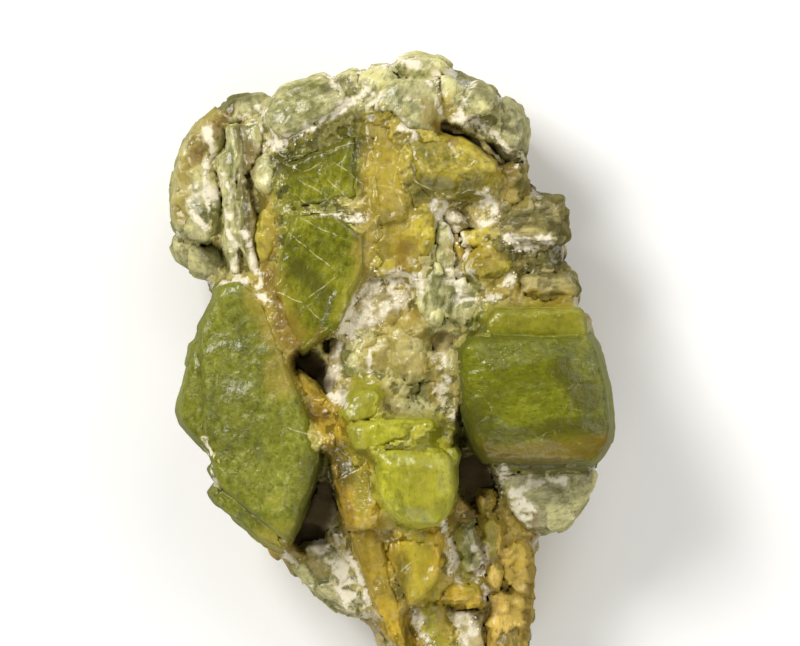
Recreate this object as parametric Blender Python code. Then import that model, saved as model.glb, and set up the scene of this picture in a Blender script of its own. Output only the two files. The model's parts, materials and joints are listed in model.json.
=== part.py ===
"""A peridot specimen: olivine crystals grown together on a pale matrix, lying on its broken back.

Seen from above, +X is right and +Y is up the specimen. Z is zero where the back rests.
Outlines and heights are in millimetres. The crystals named first keep their whole shape,
and each later one is cut to fit round them, with the matrix last.
"""

import math
import random
from collections import namedtuple

import bmesh
import bpy
from mathutils import Vector

MM = 0.001

# Driving dimensions, in millimetres. The front crystal is the highest, and GAP keeps nodes apart.
# CENTRE is the middle of the whole specimen in the frame of the outlines.
THICKNESS = 27.4
GAP = 0.3
CENTRE = (-0.05, -0.448)
ROUGH_SIZE = 200.0
OPEN_SKY = 60.0
WELD = 0.002

# The crust of small crystals on the flank of the matrix.
CRUST_SEED = 11
CRUST_STEP = 7.0
CRUST_INSET = 1.7
CRUST_RADIUS = (2.2, 3.2)
CRUST_TOP = (9.5, 13.5)
CRUST_BASE = (1.2, 3.5)
CRUST_SLOPE = 0.3
BURIED = 2.5

# A block is one convex stone. Its outline is its widest section, at the height of its waist.
# Below the waist its sides draw in by the undercut, and above it they lean in by the lean.
# slope is the rise of its top face along X and Y. Each facet is (inset, degrees) round the top.
# cuts are more flat faces, each (point, normal).
Block = namedtuple(
    "Block",
    "outline low waist top slope lean undercut facets cuts",
    defaults=((0.0, 0.0), 4.0, 6.0, ((0.4, 45.0),), ()),
)

ROUNDED = ((1.5, 22.0), (0.6, 50.0))
BARREL = ((3.2, 14.0), (1.7, 32.0), (0.6, 58.0))
BULGE = ((2.0, 20.0), (0.9, 45.0))
SOFT_EDGE = ((0.7, 40.0),)
GROUND_EDGE = ((3.0, 24.0), (1.2, 50.0))

# Colours of the finishes, as sRGB hex.
GREEN = ("peridot_green", "6F7A2C", 0.25)
BRIGHT = ("peridot_bright", "AEB13C", 0.25)
GOLD = ("peridot_golden", "A8962F", 0.3)
PALE = ("peridot_pale", "A9AC7C", 0.35)
FROSTED = ("peridot_frosted", "8E937A", 0.5)
BROWN = ("peridot_brown", "8A7A3C", 0.4)
CHALK = ("matrix_chalk", "D9D0AE", 0.9)

FRONT_CRYSTAL = [
    Block(
        [(-2.0, -7.5), (0.0, -7.1), (5.3, -7.3), (6.4, -8.2), (6.5, -11.0), (6.0, -13.5),
         (4.8, -15.3), (2.8, -15.5), (0.6, -15.0), (-0.8, -13.8), (-1.8, -11.8)],
        13.0, 20.5, THICKNESS, (0.05, 0.05), 6.0, 8.0, BULGE,
    ),
    Block(
        [(-4.9, -5.1), (-3.2, -4.6), (4.0, -4.3), (4.8, -4.9), (5.5, -6.0), (5.2, -7.0),
         (3.8, -7.7), (-2.0, -8.0), (-3.6, -8.5), (-4.3, -7.2)],
        14.0, 20.0, 26.3, (0.04, -0.08), 5.0, 8.0, SOFT_EDGE,
    ),
    Block(
        [(-5.4, -4.2), (-4.7, -3.0), (-4.0, -2.0), (-3.0, -1.3), (-1.4, -1.3), (-0.6, -2.3),
         (-0.8, -3.6), (-1.2, -5.0), (-4.6, -5.6)],
        14.0, 20.0, 24.9, (0.05, -0.12), 8.0, 10.0, SOFT_EDGE,
    ),
    Block([(5.0, -7.2), (6.4, -7.3), (6.8, -8.2), (6.5, -9.2), (5.0, -9.6)], 18.0, 21.0, 25.6),
]

BARREL_CRYSTAL = [
    Block(
        [(6.1, 2.2), (7.4, 3.6), (8.4, 3.9), (19.7, 3.8), (20.6, 2.4), (21.6, -1.5),
         (22.0, -5.5), (21.8, -7.0), (20.8, -8.8), (19.7, -9.6), (9.0, -9.2), (7.5, -7.2),
         (6.5, -3.5), (6.1, 0.0)],
        9.5, 17.0, 26.2, (-0.06, 0.08), 6.0, 18.0, BARREL,
    ),
    Block(
        [(8.6, 2.4), (9.3, 5.0), (10.1, 6.2), (18.6, 6.3), (19.2, 5.2), (19.4, 2.4)],
        12.0, 17.0, 22.8, (-0.03, 0.04), 3.0, 16.0, ((0.5, 40.0),),
    ),
    Block([(9.3, -8.2), (19.8, -8.2), (19.2, -9.9), (10.4, -9.9)], 13.0, 17.0, 20.2, (0.0, 0.1)),
]

LEFT_TABLET = [
    Block(
        [(-17.0, 8.6), (-15.0, 9.1), (-12.6, 7.6), (-10.8, 3.0), (-7.0, -6.7), (-6.5, -8.7),
         (-10.0, -17.5), (-12.0, -15.9), (-17.2, -11.4), (-18.9, -6.0), (-19.3, 4.2)],
        8.0, 15.0, 21.8, (0.10, -0.02), 5.0, 20.0, SOFT_EDGE,
    ),
    Block(
        [(-19.2, 4.4), (-20.2, 1.5), (-21.6, -4.0), (-21.1, -5.4), (-17.8, -9.0),
         (-14.0, -8.0), (-14.0, 4.0)],
        8.5, 14.0, 20.4, (0.22, 0.0), 7.0, 22.0, ((1.0, 35.0),),
    ),
    Block(
        [(-17.5, -10.8), (-18.5, -12.2), (-17.8, -13.2), (-13.2, -17.1), (-11.0, -18.2),
         (-9.9, -17.7), (-11.5, -14.0), (-15.5, -10.4)],
        9.0, 14.0, 19.9, (0.12, 0.05), 7.0, 20.0,
    ),
    Block([(-17.5, -8.9), (-18.4, -9.8), (-17.8, -10.9), (-16.2, -11.2), (-16.0, -9.0)],
          10.0, 15.0, 20.4, (0.1, 0.0), 8.0),
    Block([(-19.0, 3.6), (-20.2, 2.6), (-20.6, 0.6), (-19.6, -0.6), (-18.0, 1.5)],
          11.0, 15.0, 19.6, (0.2, 0.0), 8.0),
    Block([(-16.9, 9.0), (-17.8, 8.2), (-17.9, 7.0), (-16.8, 5.6), (-15.6, 7.6)],
          11.0, 15.0, 20.6, (0.1, 0.0), 8.0),
]

UPPER_TABLET = [
    Block(
        [(-11.4, 21.8), (-4.7, 26.0), (-3.4, 26.0), (-2.6, 17.0), (-9.2, 15.2),
         (-10.8, 17.0), (-11.4, 20.2)],
        10.0, 15.0, 21.2, (0.04, -0.06), 4.0, 8.0, SOFT_EDGE,
    ),
    Block(
        [(-10.6, 20.4), (-3.4, 23.6), (-3.2, 16.8), (-9.0, 15.9), (-10.5, 17.5)],
        12.0, 17.0, 22.3, (0.03, -0.03), 4.0, 8.0, SOFT_EDGE,
    ),
    Block(
        [(-10.0, 15.6), (-6.2, 16.0), (-2.4, 13.8), (-2.4, 10.0), (-4.9, 4.3), (-8.9, 1.3),
         (-10.4, 3.5), (-12.0, 8.2), (-10.7, 13.2)],
        9.0, 15.0, 22.0, (0.05, 0.03), 4.0, 8.0, SOFT_EDGE,
    ),
]

GOLDEN_BLOCK = [
    Block(
        [(0.9, 23.0), (2.0, 23.7), (4.8, 23.5), (7.0, 23.0), (8.8, 21.8), (10.3, 20.5),
         (10.3, 19.0), (9.6, 17.2), (4.8, 16.6), (3.3, 16.8), (2.1, 18.5)],
        10.0, 16.0, 22.6, (0.02, -0.28), 4.0, 8.0, SOFT_EDGE,
        (((6.0, 20.2, 23.1), (0.05, -0.55, 1.0)),),
    ),
]

PALE_TABLET = [
    Block(
        [(-12.9, 25.2), (-11.7, 27.3), (-11.0, 28.2), (-9.2, 28.8), (-6.8, 29.5),
         (-5.2, 28.6), (-4.3, 27.3), (-4.4, 26.0), (-10.4, 22.4), (-12.2, 23.8)],
        8.0, 14.0, 22.4, (0.03, -0.30), 4.0, 12.0, ROUNDED,
    ),
]

AMBER_BLADE = [
    Block(
        [(-6.2, -6.2), (-5.9, -5.0), (-5.1, -4.4), (-1.6, -6.0), (-0.6, -9.0),
         (-0.6, -13.0), (-1.0, -15.8), (-4.5, -15.9), (-5.3, -13.0), (-5.9, -9.0)],
        8.0, 14.0, 22.6, (0.22, 0.02), 4.0, 10.0, SOFT_EDGE,
    ),
    Block(
        [(-4.6, -15.2), (-2.6, -14.0), (-0.4, -15.8), (0.8, -21.0), (1.6, -25.0),
         (2.3, -28.0), (1.6, -29.6), (0.4, -28.4), (-2.1, -23.9), (-3.7, -19.0)],
        5.0, 11.0, 19.6, (0.30, 0.12), 5.0, 12.0, SOFT_EDGE,
    ),
    Block(
        [(-0.9, -16.6), (2.0, -15.2), (5.0, -15.4), (5.2, -17.5), (4.8, -20.8),
         (3.4, -22.5), (1.6, -23.6), (0.0, -20.5)],
        9.0, 14.0, 20.6, (0.05, -0.05), 4.0, 8.0, SOFT_EDGE,
    ),
]

GOLDEN_COLUMN = [
    Block(
        [(-3.0, 25.4), (0.2, 25.2), (1.6, 23.8), (2.2, 19.0), (1.8, 14.5), (-1.6, 14.0),
         (-2.9, 18.0), (-3.2, 22.0)],
        11.0, 16.0, 22.0, (0.0, -0.06), 3.0, 6.0, SOFT_EDGE,
    ),
    Block(
        [(1.0, 18.4), (3.6, 17.2), (4.2, 15.0), (4.0, 12.5), (2.4, 9.2), (-1.6, 9.1),
         (-2.0, 11.5), (-1.8, 15.0)],
        11.0, 16.0, 21.5, (-0.04, 0.05), 3.0, 6.0, SOFT_EDGE,
    ),
]

PALE_CLUSTER = [
    Block([(-6.4, 28.6), (-5.2, 29.6), (-3.6, 29.9), (-2.8, 29.0), (-3.6, 27.2), (-4.9, 27.6)],
          9.0, 14.0, 20.6, (0.1, -0.3), 5.0, 12.0, SOFT_EDGE),
    Block([(-3.6, 29.2), (-2.0, 30.4), (-0.4, 30.6), (1.0, 29.0), (0.6, 27.0), (-1.7, 26.4),
           (-3.5, 27.0)],
          9.0, 14.0, 21.0, (0.0, -0.32), 5.0, 12.0, ROUNDED),
    Block([(-0.6, 30.0), (1.0, 31.0), (2.6, 31.5), (4.8, 31.1), (5.9, 30.2), (4.8, 28.4),
           (1.4, 28.0)],
          8.0, 12.0, 18.9, (0.0, -0.30), 6.0, 14.0, ROUNDED),
    Block([(0.2, 28.8), (4.4, 29.0), (4.8, 26.4), (4.4, 24.2), (3.4, 23.2), (0.4, 23.4),
           (-2.2, 25.0), (-1.6, 27.4)],
          10.0, 15.0, 22.8, (0.0, -0.18), 4.0, 8.0, ROUNDED),
    Block([(4.3, 29.6), (6.0, 29.6), (6.7, 28.5), (6.7, 26.0), (5.8, 25.1), (4.4, 25.6)],
          9.0, 14.0, 20.6, (0.0, -0.25), 5.0, 8.0, SOFT_EDGE),
]

ROUND_PALE_CRYSTAL = [
    Block(
        [(6.6, 28.2), (8.3, 28.7), (10.0, 28.2), (10.6, 27.2), (10.7, 26.0), (10.0, 25.1),
         (8.6, 24.8), (7.0, 25.1), (6.4, 26.6)],
        8.0, 15.0, 21.4, (-0.05, -0.05), 6.0, 12.0, ((0.9, 25.0), (0.4, 55.0)),
    ),
    Block([(6.0, 30.2), (7.4, 29.6), (9.3, 29.1), (9.6, 28.2), (7.4, 27.6), (6.0, 28.4)],
          6.0, 10.0, 16.5, (-0.1, 0.0), 5.0, 14.0),
]

OVAL_CRYSTAL = [
    Block(
        [(-13.4, 20.8), (-12.5, 21.5), (-11.8, 21.2), (-11.5, 19.5), (-11.5, 17.6),
         (-12.3, 17.0), (-13.3, 18.0), (-13.7, 19.5)],
        13.0, 18.0, 21.2, (0.15, 0.0), 5.0, 6.0, ((0.5, 30.0),),
    ),
]

GOLDEN_WEDGE = [
    Block(
        [(-12.8, 15.9), (-11.2, 16.6), (-10.9, 15.4), (-11.3, 12.9), (-12.2, 10.6),
         (-12.9, 10.9), (-13.3, 13.2)],
        12.0, 17.0, 20.8, (0.2, 0.0), 4.0, 6.0,
    ),
]

GOLDEN_BUD = [
    Block(
        [(7.0, 10.4), (8.0, 12.0), (9.7, 12.6), (10.7, 11.7), (11.9, 10.7), (11.7, 9.5),
         (10.3, 8.8), (8.8, 9.0), (7.2, 9.6)],
        12.0, 17.0, 21.2, (-0.06, 0.10), 6.0, 8.0, ((1.0, 28.0), (0.4, 55.0)),
    ),
    Block([(6.6, 13.8), (9.9, 13.9), (10.2, 12.8), (9.0, 12.2), (6.9, 12.3)],
          12.0, 17.0, 19.8, (0.0, -0.1)),
]

CENTRE_CRYSTAL = [
    Block(
        [(-4.8, -0.6), (-4.6, 1.8), (-3.2, 3.2), (-0.4, 4.2), (0.5, 3.0), (0.4, -1.8),
         (-3.4, -1.0)],
        12.0, 16.0, 19.4, (0.12, -0.04), 6.0, 6.0, SOFT_EDGE,
    ),
    Block(
        [(-0.6, 4.0), (1.1, 4.9), (3.2, 3.9), (3.9, 2.0), (3.9, -1.4), (0.0, -1.6)],
        12.0, 16.0, 20.4, (-0.05, -0.12), 6.0, 6.0, ((1.0, 32.0),),
    ),
    Block([(0.4, -1.0), (2.6, -0.8), (2.7, -5.0), (0.4, -5.0)],
          12.0, 16.0, 18.9, (0.0, 0.1)),
    Block([(2.4, -0.8), (4.6, -0.9), (5.0, -5.0), (2.6, -5.0)],
          12.0, 16.0, 19.3, (-0.05, 0.1)),
]

LEDGE_STACK = [
    Block([(10.4, 20.2), (12.6, 20.4), (13.3, 19.4), (13.6, 17.2), (12.2, 16.0), (10.6, 16.4)],
          8.0, 14.0, 19.6, (-0.1, 0.1), 5.0, 10.0, SOFT_EDGE),
    Block([(10.6, 15.2), (11.4, 16.6), (15.3, 17.3), (16.8, 17.0), (17.3, 15.5), (17.6, 13.0),
           (16.8, 12.2), (11.2, 12.4), (10.4, 13.4)],
          7.0, 13.0, 19.6, (-0.12, 0.04), 5.0, 12.0, SOFT_EDGE),
    Block([(11.6, 12.8), (16.1, 12.6), (16.6, 11.2), (15.8, 10.7), (12.4, 11.0)],
          8.0, 13.0, 17.8, (-0.1, 0.0), 5.0, 10.0),
    Block([(13.4, 11.2), (16.1, 11.2), (16.5, 9.8), (15.6, 9.0), (13.2, 9.2)],
          9.0, 14.0, 19.2, (-0.05, 0.0), 5.0, 8.0),
    Block([(15.6, 10.9), (17.3, 10.6), (17.8, 9.5), (17.0, 8.4), (15.4, 9.0)],
          8.0, 12.0, 16.4, (-0.1, 0.0), 6.0, 12.0),
    Block([(12.6, 9.4), (15.8, 9.7), (18.0, 9.3), (18.6, 8.0), (18.3, 6.9), (12.8, 6.8)],
          9.0, 14.0, 20.0, (-0.08, 0.05), 5.0, 10.0, SOFT_EDGE),
]

OLIVE_COLUMNS = [
    Block([(4.7, 14.8), (5.7, 14.4), (6.2, 11.0), (6.3, 7.0), (5.6, 5.4), (4.5, 6.0),
           (4.2, 11.0)],
          12.0, 17.0, 20.0, (-0.05, 0.0)),
    Block([(2.9, 9.4), (4.8, 11.0), (5.2, 7.0), (4.8, 4.4), (3.0, 4.4), (2.4, 6.6)],
          12.0, 17.0, 20.6, (0.0, 0.0)),
    Block([(5.0, 8.9), (9.4, 8.6), (9.5, 7.6), (5.2, 7.2)], 13.0, 17.0, 19.8, (0.0, 0.12)),
    Block([(5.2, 7.6), (9.3, 7.7), (9.2, 6.0), (8.2, 4.4), (5.4, 5.2)],
          13.0, 17.0, 19.2, (0.0, -0.05)),
]

FROSTED_CRYSTAL = [
    Block(
        [(10.0, -10.2), (10.8, -9.0), (19.6, -9.0), (20.4, -10.4), (20.0, -11.9),
         (17.9, -15.4), (17.3, -16.0), (15.0, -16.5), (13.6, -16.3), (12.2, -15.0),
         (10.7, -12.6)],
        6.5, 12.0, 17.6, (-0.16, 0.10), 5.0, 18.0, SOFT_EDGE,
    ),
]

BROWN_PRISM = [
    Block([(5.6, -14.2), (7.8, -13.5), (8.4, -14.2), (8.2, -15.4), (6.2, -15.6)],
          10.0, 14.0, 17.0, (0.0, -0.1)),
    Block([(6.0, -15.4), (6.9, -14.6), (8.0, -14.7), (8.6, -17.0), (9.0, -19.6), (7.2, -20.2),
           (6.4, -18.0)],
          10.0, 14.0, 18.4, (0.0, -0.05)),
]

BROWN_COLUMNS = [
    Block([(8.3, -12.6), (9.0, -11.9), (9.9, -11.9), (10.4, -12.7), (10.0, -13.9), (8.8, -14.2)],
          11.0, 16.0, 19.2, (0.0, 0.0), 6.0, 6.0, ((0.5, 30.0),)),
    Block([(8.5, -14.4), (9.3, -13.6), (10.5, -14.1), (11.4, -15.4), (11.2, -19.0),
           (10.8, -22.2), (9.6, -22.0), (8.9, -18.0)],
          10.0, 14.0, 18.6, (0.0, 0.02), 5.0),
    Block([(10.9, -17.4), (12.3, -16.6), (13.1, -16.9), (13.7, -18.0), (13.9, -20.0),
           (13.8, -22.4), (12.0, -22.6), (10.8, -20.6)],
          8.0, 13.0, 17.6, (-0.08, 0.03), 5.0, 10.0),
    Block([(9.8, -21.6), (13.6, -21.4), (14.2, -22.4), (13.8, -24.4), (13.9, -27.6),
           (12.8, -29.8), (9.6, -30.2), (9.2, -26.0)],
          6.0, 11.0, 16.6, (-0.08, 0.06), 5.0, 12.0, SOFT_EDGE),
]

LOWER_WEDGE = [
    Block(
        [(-10.0, -18.6), (-8.8, -17.2), (-6.4, -16.8), (-4.2, -18.4), (-2.6, -21.0),
         (-2.0, -24.0), (-2.9, -24.8), (-4.5, -24.7), (-6.9, -23.1), (-8.9, -21.2),
         (-9.7, -19.9)],
        4.5, 9.0, 14.8, (0.18, 0.10), 6.0, 20.0, SOFT_EDGE,
    ),
]

AMBER_CHIP = [
    Block(
        [(-11.0, -1.0), (-9.4, 0.2), (-7.5, -1.2), (-6.0, -3.2), (-6.2, -4.9), (-8.0, -7.4)],
        12.0, 16.0, 19.4, (-0.1, 0.15), 6.0,
    ),
]

AMBER_KNOB = [
    Block(
        [(4.4, -21.8), (6.6, -20.8), (8.6, -21.3), (9.3, -22.4), (8.9, -23.5), (7.0, -23.6),
         (4.2, -23.2)],
        10.0, 15.0, 18.6, (0.0, 0.05), 6.0, 6.0, ((0.5, 35.0),),
    ),
]

RIM_CRYSTALS = [
    Block(
        [(-22.1, 15.5), (-22.0, 19.0), (-21.4, 21.4), (-19.7, 22.6), (-18.2, 21.5),
         (-17.2, 19.0), (-16.9, 16.5), (-16.9, 13.4), (-18.7, 12.4), (-20.6, 12.8),
         (-21.8, 14.0)],
        4.5, 10.0, 15.6, (0.24, 0.0), 5.0, 22.0, BULGE,
    ),
    Block([(-21.8, 20.4), (-20.8, 23.0), (-19.3, 25.0), (-17.9, 26.0), (-16.4, 24.8),
           (-16.6, 21.8), (-18.8, 20.2)],
          5.0, 10.0, 15.2, (0.25, -0.2), 5.0, 20.0, ROUNDED),
    Block([(-18.4, 25.6), (-15.9, 27.3), (-12.9, 27.8), (-11.6, 26.8), (-12.6, 25.0),
           (-16.8, 24.2)],
          5.0, 10.0, 15.4, (0.1, -0.25), 5.0, 18.0, SOFT_EDGE),
]

CORNER_CRYSTAL = [
    Block(
        [(-21.8, 13.4), (-20.7, 14.0), (-17.2, 12.6), (-16.4, 9.6), (-17.5, 8.7),
         (-20.4, 9.9), (-21.6, 11.0), (-22.0, 12.4)],
        4.0, 8.5, 13.0, (0.15, 0.1), 5.0, 20.0, ROUNDED,
    ),
]

LONG_COLUMNS = [
    Block([(-17.0, 24.4), (-15.4, 25.0), (-14.8, 22.0), (-15.2, 18.8), (-16.9, 18.6),
           (-17.3, 21.0)],
          10.0, 14.0, 17.6, (0.15, -0.1)),
    Block([(-15.4, 24.6), (-13.4, 25.2), (-12.6, 23.4), (-13.4, 19.6), (-15.0, 19.4)],
          11.0, 15.0, 18.8, (0.1, -0.12)),
    Block([(-16.9, 19.4), (-15.5, 19.4), (-15.0, 14.0), (-15.0, 9.6), (-16.0, 9.4),
           (-17.0, 13.0)],
          9.0, 14.0, 17.8, (0.2, -0.03)),
    Block([(-15.2, 20.0), (-13.7, 20.0), (-13.4, 15.0), (-12.5, 10.2), (-12.6, 9.0),
           (-13.6, 9.0), (-15.3, 12.5)],
          10.0, 15.0, 19.0, (0.2, -0.03)),
]

GREY_END_CRYSTAL = [
    Block(
        [(10.2, 27.0), (11.4, 27.2), (12.8, 26.4), (13.6, 24.9), (13.8, 23.5), (13.4, 21.9),
         (12.7, 20.8), (11.3, 20.8), (9.7, 22.4), (9.5, 24.8)],
        6.5, 12.0, 17.8, (-0.15, 0.05), 6.0, 18.0, ROUNDED,
    ),
]

# The ground mass, and what is fused to it.
MATRIX = [
    Block(
        [(-19.4, 11.5), (-20.4, 15.0), (-20.5, 19.0), (-18.2, 23.8), (-12.0, 26.2),
         (-5.0, 28.2), (2.5, 29.8), (5.5, 29.0), (9.2, 27.2), (12.2, 24.4), (13.4, 18.0),
         (13.8, 10.0), (10.0, 2.0), (-12.0, 2.0)],
        0.0, 10.0, 16.4, (0.05, 0.0), 10.0, 16.0, GROUND_EDGE,
    ),
    Block(
        [(2.0, 18.0), (12.0, 19.2), (15.8, 16.4), (17.2, 10.0), (17.0, 5.0), (10.0, 0.0),
         (2.0, 2.0)],
        0.0, 9.0, 15.4, (0.0, 0.0), 10.0, 18.0, GROUND_EDGE,
    ),
    Block(
        [(-16.4, 9.6), (-12.0, 11.0), (12.0, 12.0), (17.6, 7.5), (20.2, 1.0), (20.8, -5.0),
         (19.4, -10.0), (14.0, -15.0), (-6.0, -16.6), (-14.8, -13.4), (-18.8, -6.0),
         (-18.6, 3.0)],
        0.0, 10.5, 15.6, (0.0, 0.0), 10.0, 17.0, GROUND_EDGE,
    ),
    Block(
        [(-12.6, -8.0), (8.0, -8.0), (8.0, -20.0), (1.0, -26.5), (-3.4, -24.9),
         (-8.9, -20.6), (-10.6, -18.8), (-12.6, -15.6)],
        0.0, 8.0, 12.8, (0.04, 0.0), 10.0, 15.0, GROUND_EDGE,
    ),
    Block(
        [(-4.0, -10.0), (13.0, -8.0), (14.2, -12.0), (14.1, -22.0), (13.8, -27.0),
         (11.4, -30.8), (7.0, -31.5), (4.0, -31.4), (1.2, -29.9), (-2.6, -25.2),
         (-6.0, -20.0)],
        0.0, 9.0, 13.4, (0.04, 0.0), 10.0, 13.0, GROUND_EDGE,
    ),
    Block(
        [(-3.6, 24.0), (3.0, 26.0), (9.0, 25.2), (10.6, 21.0), (12.6, 14.0), (12.8, 7.4),
         (9.4, 4.0), (5.4, -3.0), (-3.8, -3.0), (-6.4, 1.8)],
        10.0, 14.0, 18.0, (0.0, 0.0), 6.0, 0.0, ((1.0, 40.0),),
    ),
    Block(
        [(3.0, -21.0), (8.8, -22.0), (10.4, -24.0), (10.0, -29.8), (5.2, -30.8), (1.8, -29.0)],
        8.0, 11.0, 16.2, (0.0, 0.06), 6.0, 8.0, SOFT_EDGE,
    ),
    Block([(-2.4, 8.2), (1.4, 9.0), (2.2, 7.0), (0.6, 4.6), (-3.6, 3.6), (-4.6, 5.0)],
          12.0, 16.0, 19.2, (-0.03, 0.05)),
    Block([(-4.6, 5.0), (-3.0, 4.4), (-4.8, 0.0), (-5.4, -3.4), (-6.8, -2.4), (-6.2, 1.4)],
          12.0, 16.0, 18.6, (0.05, 0.05)),
    Block([(4.0, 17.0), (6.4, 16.4), (8.0, 13.4), (6.4, 9.8), (5.6, 13.0)],
          12.0, 16.0, 19.2, (0.0, 0.0)),
]

MATRIX_CORES = MATRIX[:5]

# Nodes from the first to keep its shape to the last.
CRYSTALS = [
    ("front_crystal", FRONT_CRYSTAL, BRIGHT),
    ("barrel_crystal", BARREL_CRYSTAL, GREEN),
    ("left_tablet", LEFT_TABLET, GREEN),
    ("upper_tablet", UPPER_TABLET, GREEN),
    ("golden_block", GOLDEN_BLOCK, GOLD),
    ("pale_tablet", PALE_TABLET, PALE),
    ("amber_blade", AMBER_BLADE, GOLD),
    ("golden_column", GOLDEN_COLUMN, GOLD),
    ("pale_cluster", PALE_CLUSTER, PALE),
    ("round_pale_crystal", ROUND_PALE_CRYSTAL, PALE),
    ("oval_crystal", OVAL_CRYSTAL, PALE),
    ("golden_wedge", GOLDEN_WEDGE, GOLD),
    ("golden_bud", GOLDEN_BUD, GOLD),
    ("centre_crystal", CENTRE_CRYSTAL, PALE),
    ("ledge_stack", LEDGE_STACK, BROWN),
    ("olive_columns", OLIVE_COLUMNS, PALE),
    ("frosted_crystal", FROSTED_CRYSTAL, FROSTED),
    ("brown_columns", BROWN_COLUMNS, BROWN),
    ("brown_prism", BROWN_PRISM, BROWN),
    ("lower_wedge", LOWER_WEDGE, FROSTED),
    ("amber_chip", AMBER_CHIP, GOLD),
    ("amber_knob", AMBER_KNOB, GOLD),
    ("rim_crystals", RIM_CRYSTALS, FROSTED),
    ("corner_crystal", CORNER_CRYSTAL, GREEN),
    ("long_columns", LONG_COLUMNS, PALE),
    ("grey_end_crystal", GREY_END_CRYSTAL, FROSTED),
]


def clear_scene():
    for thing in list(bpy.data.objects):
        bpy.data.objects.remove(thing, do_unlink=True)


def collection(name):
    made = bpy.data.collections.new(name)
    bpy.context.scene.collection.children.link(made)
    return made


def linear(hex_colour):
    """An sRGB hex colour as the linear values that a shader takes."""
    values = [int(hex_colour[i:i + 2], 16) / 255 for i in (0, 2, 4)]
    return [v / 12.92 if v <= 0.04045 else ((v + 0.055) / 1.055) ** 2.4 for v in values]


def finish(name, hex_colour, roughness):
    material = bpy.data.materials.get(name) or bpy.data.materials.new(name)
    material.use_nodes = True
    shader = material.node_tree.nodes["Principled BSDF"]
    shader.inputs["Base Color"].default_value = (*linear(hex_colour), 1.0)
    shader.inputs["Roughness"].default_value = roughness
    shader.inputs["Metallic"].default_value = 0.0
    return material


def edges_of(outline):
    """Each side of a convex outline as (a point on it, the direction that faces out of it)."""
    middle = sum((Vector(p) for p in outline), Vector((0.0, 0.0))) / len(outline)
    for start, end in zip(outline, outline[1:] + outline[:1]):
        start, end = Vector(start), Vector(end)
        out = Vector((end.y - start.y, start.x - end.x)).normalized()
        if out.dot(start - middle) < 0:
            out = -out
        yield (start + end) / 2, out


def leaning(out, degrees):
    """A face's normal, turned up from level by some degrees."""
    rise = math.radians(degrees)
    return Vector((out.x * math.cos(rise), out.y * math.cos(rise), math.sin(rise)))


def faces_of(block):
    """The flat faces of a block, each as (point, outward normal)."""
    middle = sum((Vector(p) for p in block.outline), Vector((0.0, 0.0))) / len(block.outline)
    rise_x, rise_y = block.slope
    up = Vector((-rise_x, -rise_y, 1.0)).normalized()
    faces = [
        (Vector((middle.x, middle.y, block.top)), up),
        (Vector((middle.x, middle.y, block.low)), Vector((0.0, 0.0, -1.0))),
    ]
    for point, out in edges_of(block.outline):
        at_waist = Vector((point.x, point.y, block.waist))
        faces.append((at_waist, leaning(out, block.lean)))
        faces.append((at_waist, leaning(out, -block.undercut)))
        for inset, degrees in block.facets:
            at = point - out * inset
            height = block.top + (at - middle).dot(Vector(block.slope))
            faces.append((Vector((at.x, at.y, height)), leaning(out, 90.0 - degrees)))
    faces.extend((Vector(point), Vector(normal).normalized()) for point, normal in block.cuts)
    return faces


def depth_inside(point, outline):
    """How far a point lies inside a convex outline, negative where it is outside."""
    return min((middle - point).dot(out) for middle, out in edges_of(outline))


def crust_crystal(at, out, chance):
    """One small crystal of the crust, leaning down and away along out."""
    corners = chance.choice((5, 6, 6, 7))
    radius = chance.uniform(*CRUST_RADIUS)
    turn = chance.uniform(0.0, math.tau)
    outline = [
        (at.x + radius * math.cos(turn + math.tau * i / corners),
         at.y + radius * math.sin(turn + math.tau * i / corners))
        for i in range(corners)
    ]
    top = chance.uniform(*CRUST_TOP)
    base = chance.uniform(*CRUST_BASE)
    slope = (-out.x * CRUST_SLOPE, -out.y * CRUST_SLOPE)
    return Block(outline, base, (base + top) / 2, top, slope, 8.0, 14.0, ())


def crust():
    """Small crystals round the flank of the matrix, where no core buries them."""
    chance = random.Random(CRUST_SEED)
    crystals = []
    for core in MATRIX_CORES:
        others = [other for other in MATRIX_CORES if other is not core]
        for start, end in zip(core.outline, core.outline[1:] + core.outline[:1]):
            start, end = Vector(start), Vector(end)
            count = max(1, round((end - start).length / CRUST_STEP))
            for i in range(count):
                at = start.lerp(end, (i + 0.5) / count)
                if any(depth_inside(at, other.outline) > BURIED for other in others):
                    continue
                out = Vector((start.y - end.y, end.x - start.x)).normalized()
                crystals.append(crust_crystal(at - out * CRUST_INSET, out, chance))
    return crystals


def room_of(block):
    """The faces of the room that a block needs: its outline and a gap, open above."""
    faces = [
        (Vector((0.0, 0.0, OPEN_SKY)), Vector((0.0, 0.0, 1.0))),
        (Vector((0.0, 0.0, block.low - GAP)), Vector((0.0, 0.0, -1.0))),
    ]
    for point, out in edges_of(block.outline):
        at_waist = Vector((point.x, point.y, block.waist))
        for normal in (leaning(out, 0.0), leaning(out, -block.undercut)):
            faces.append((at_waist + normal * GAP, normal))
    return faces


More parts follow.
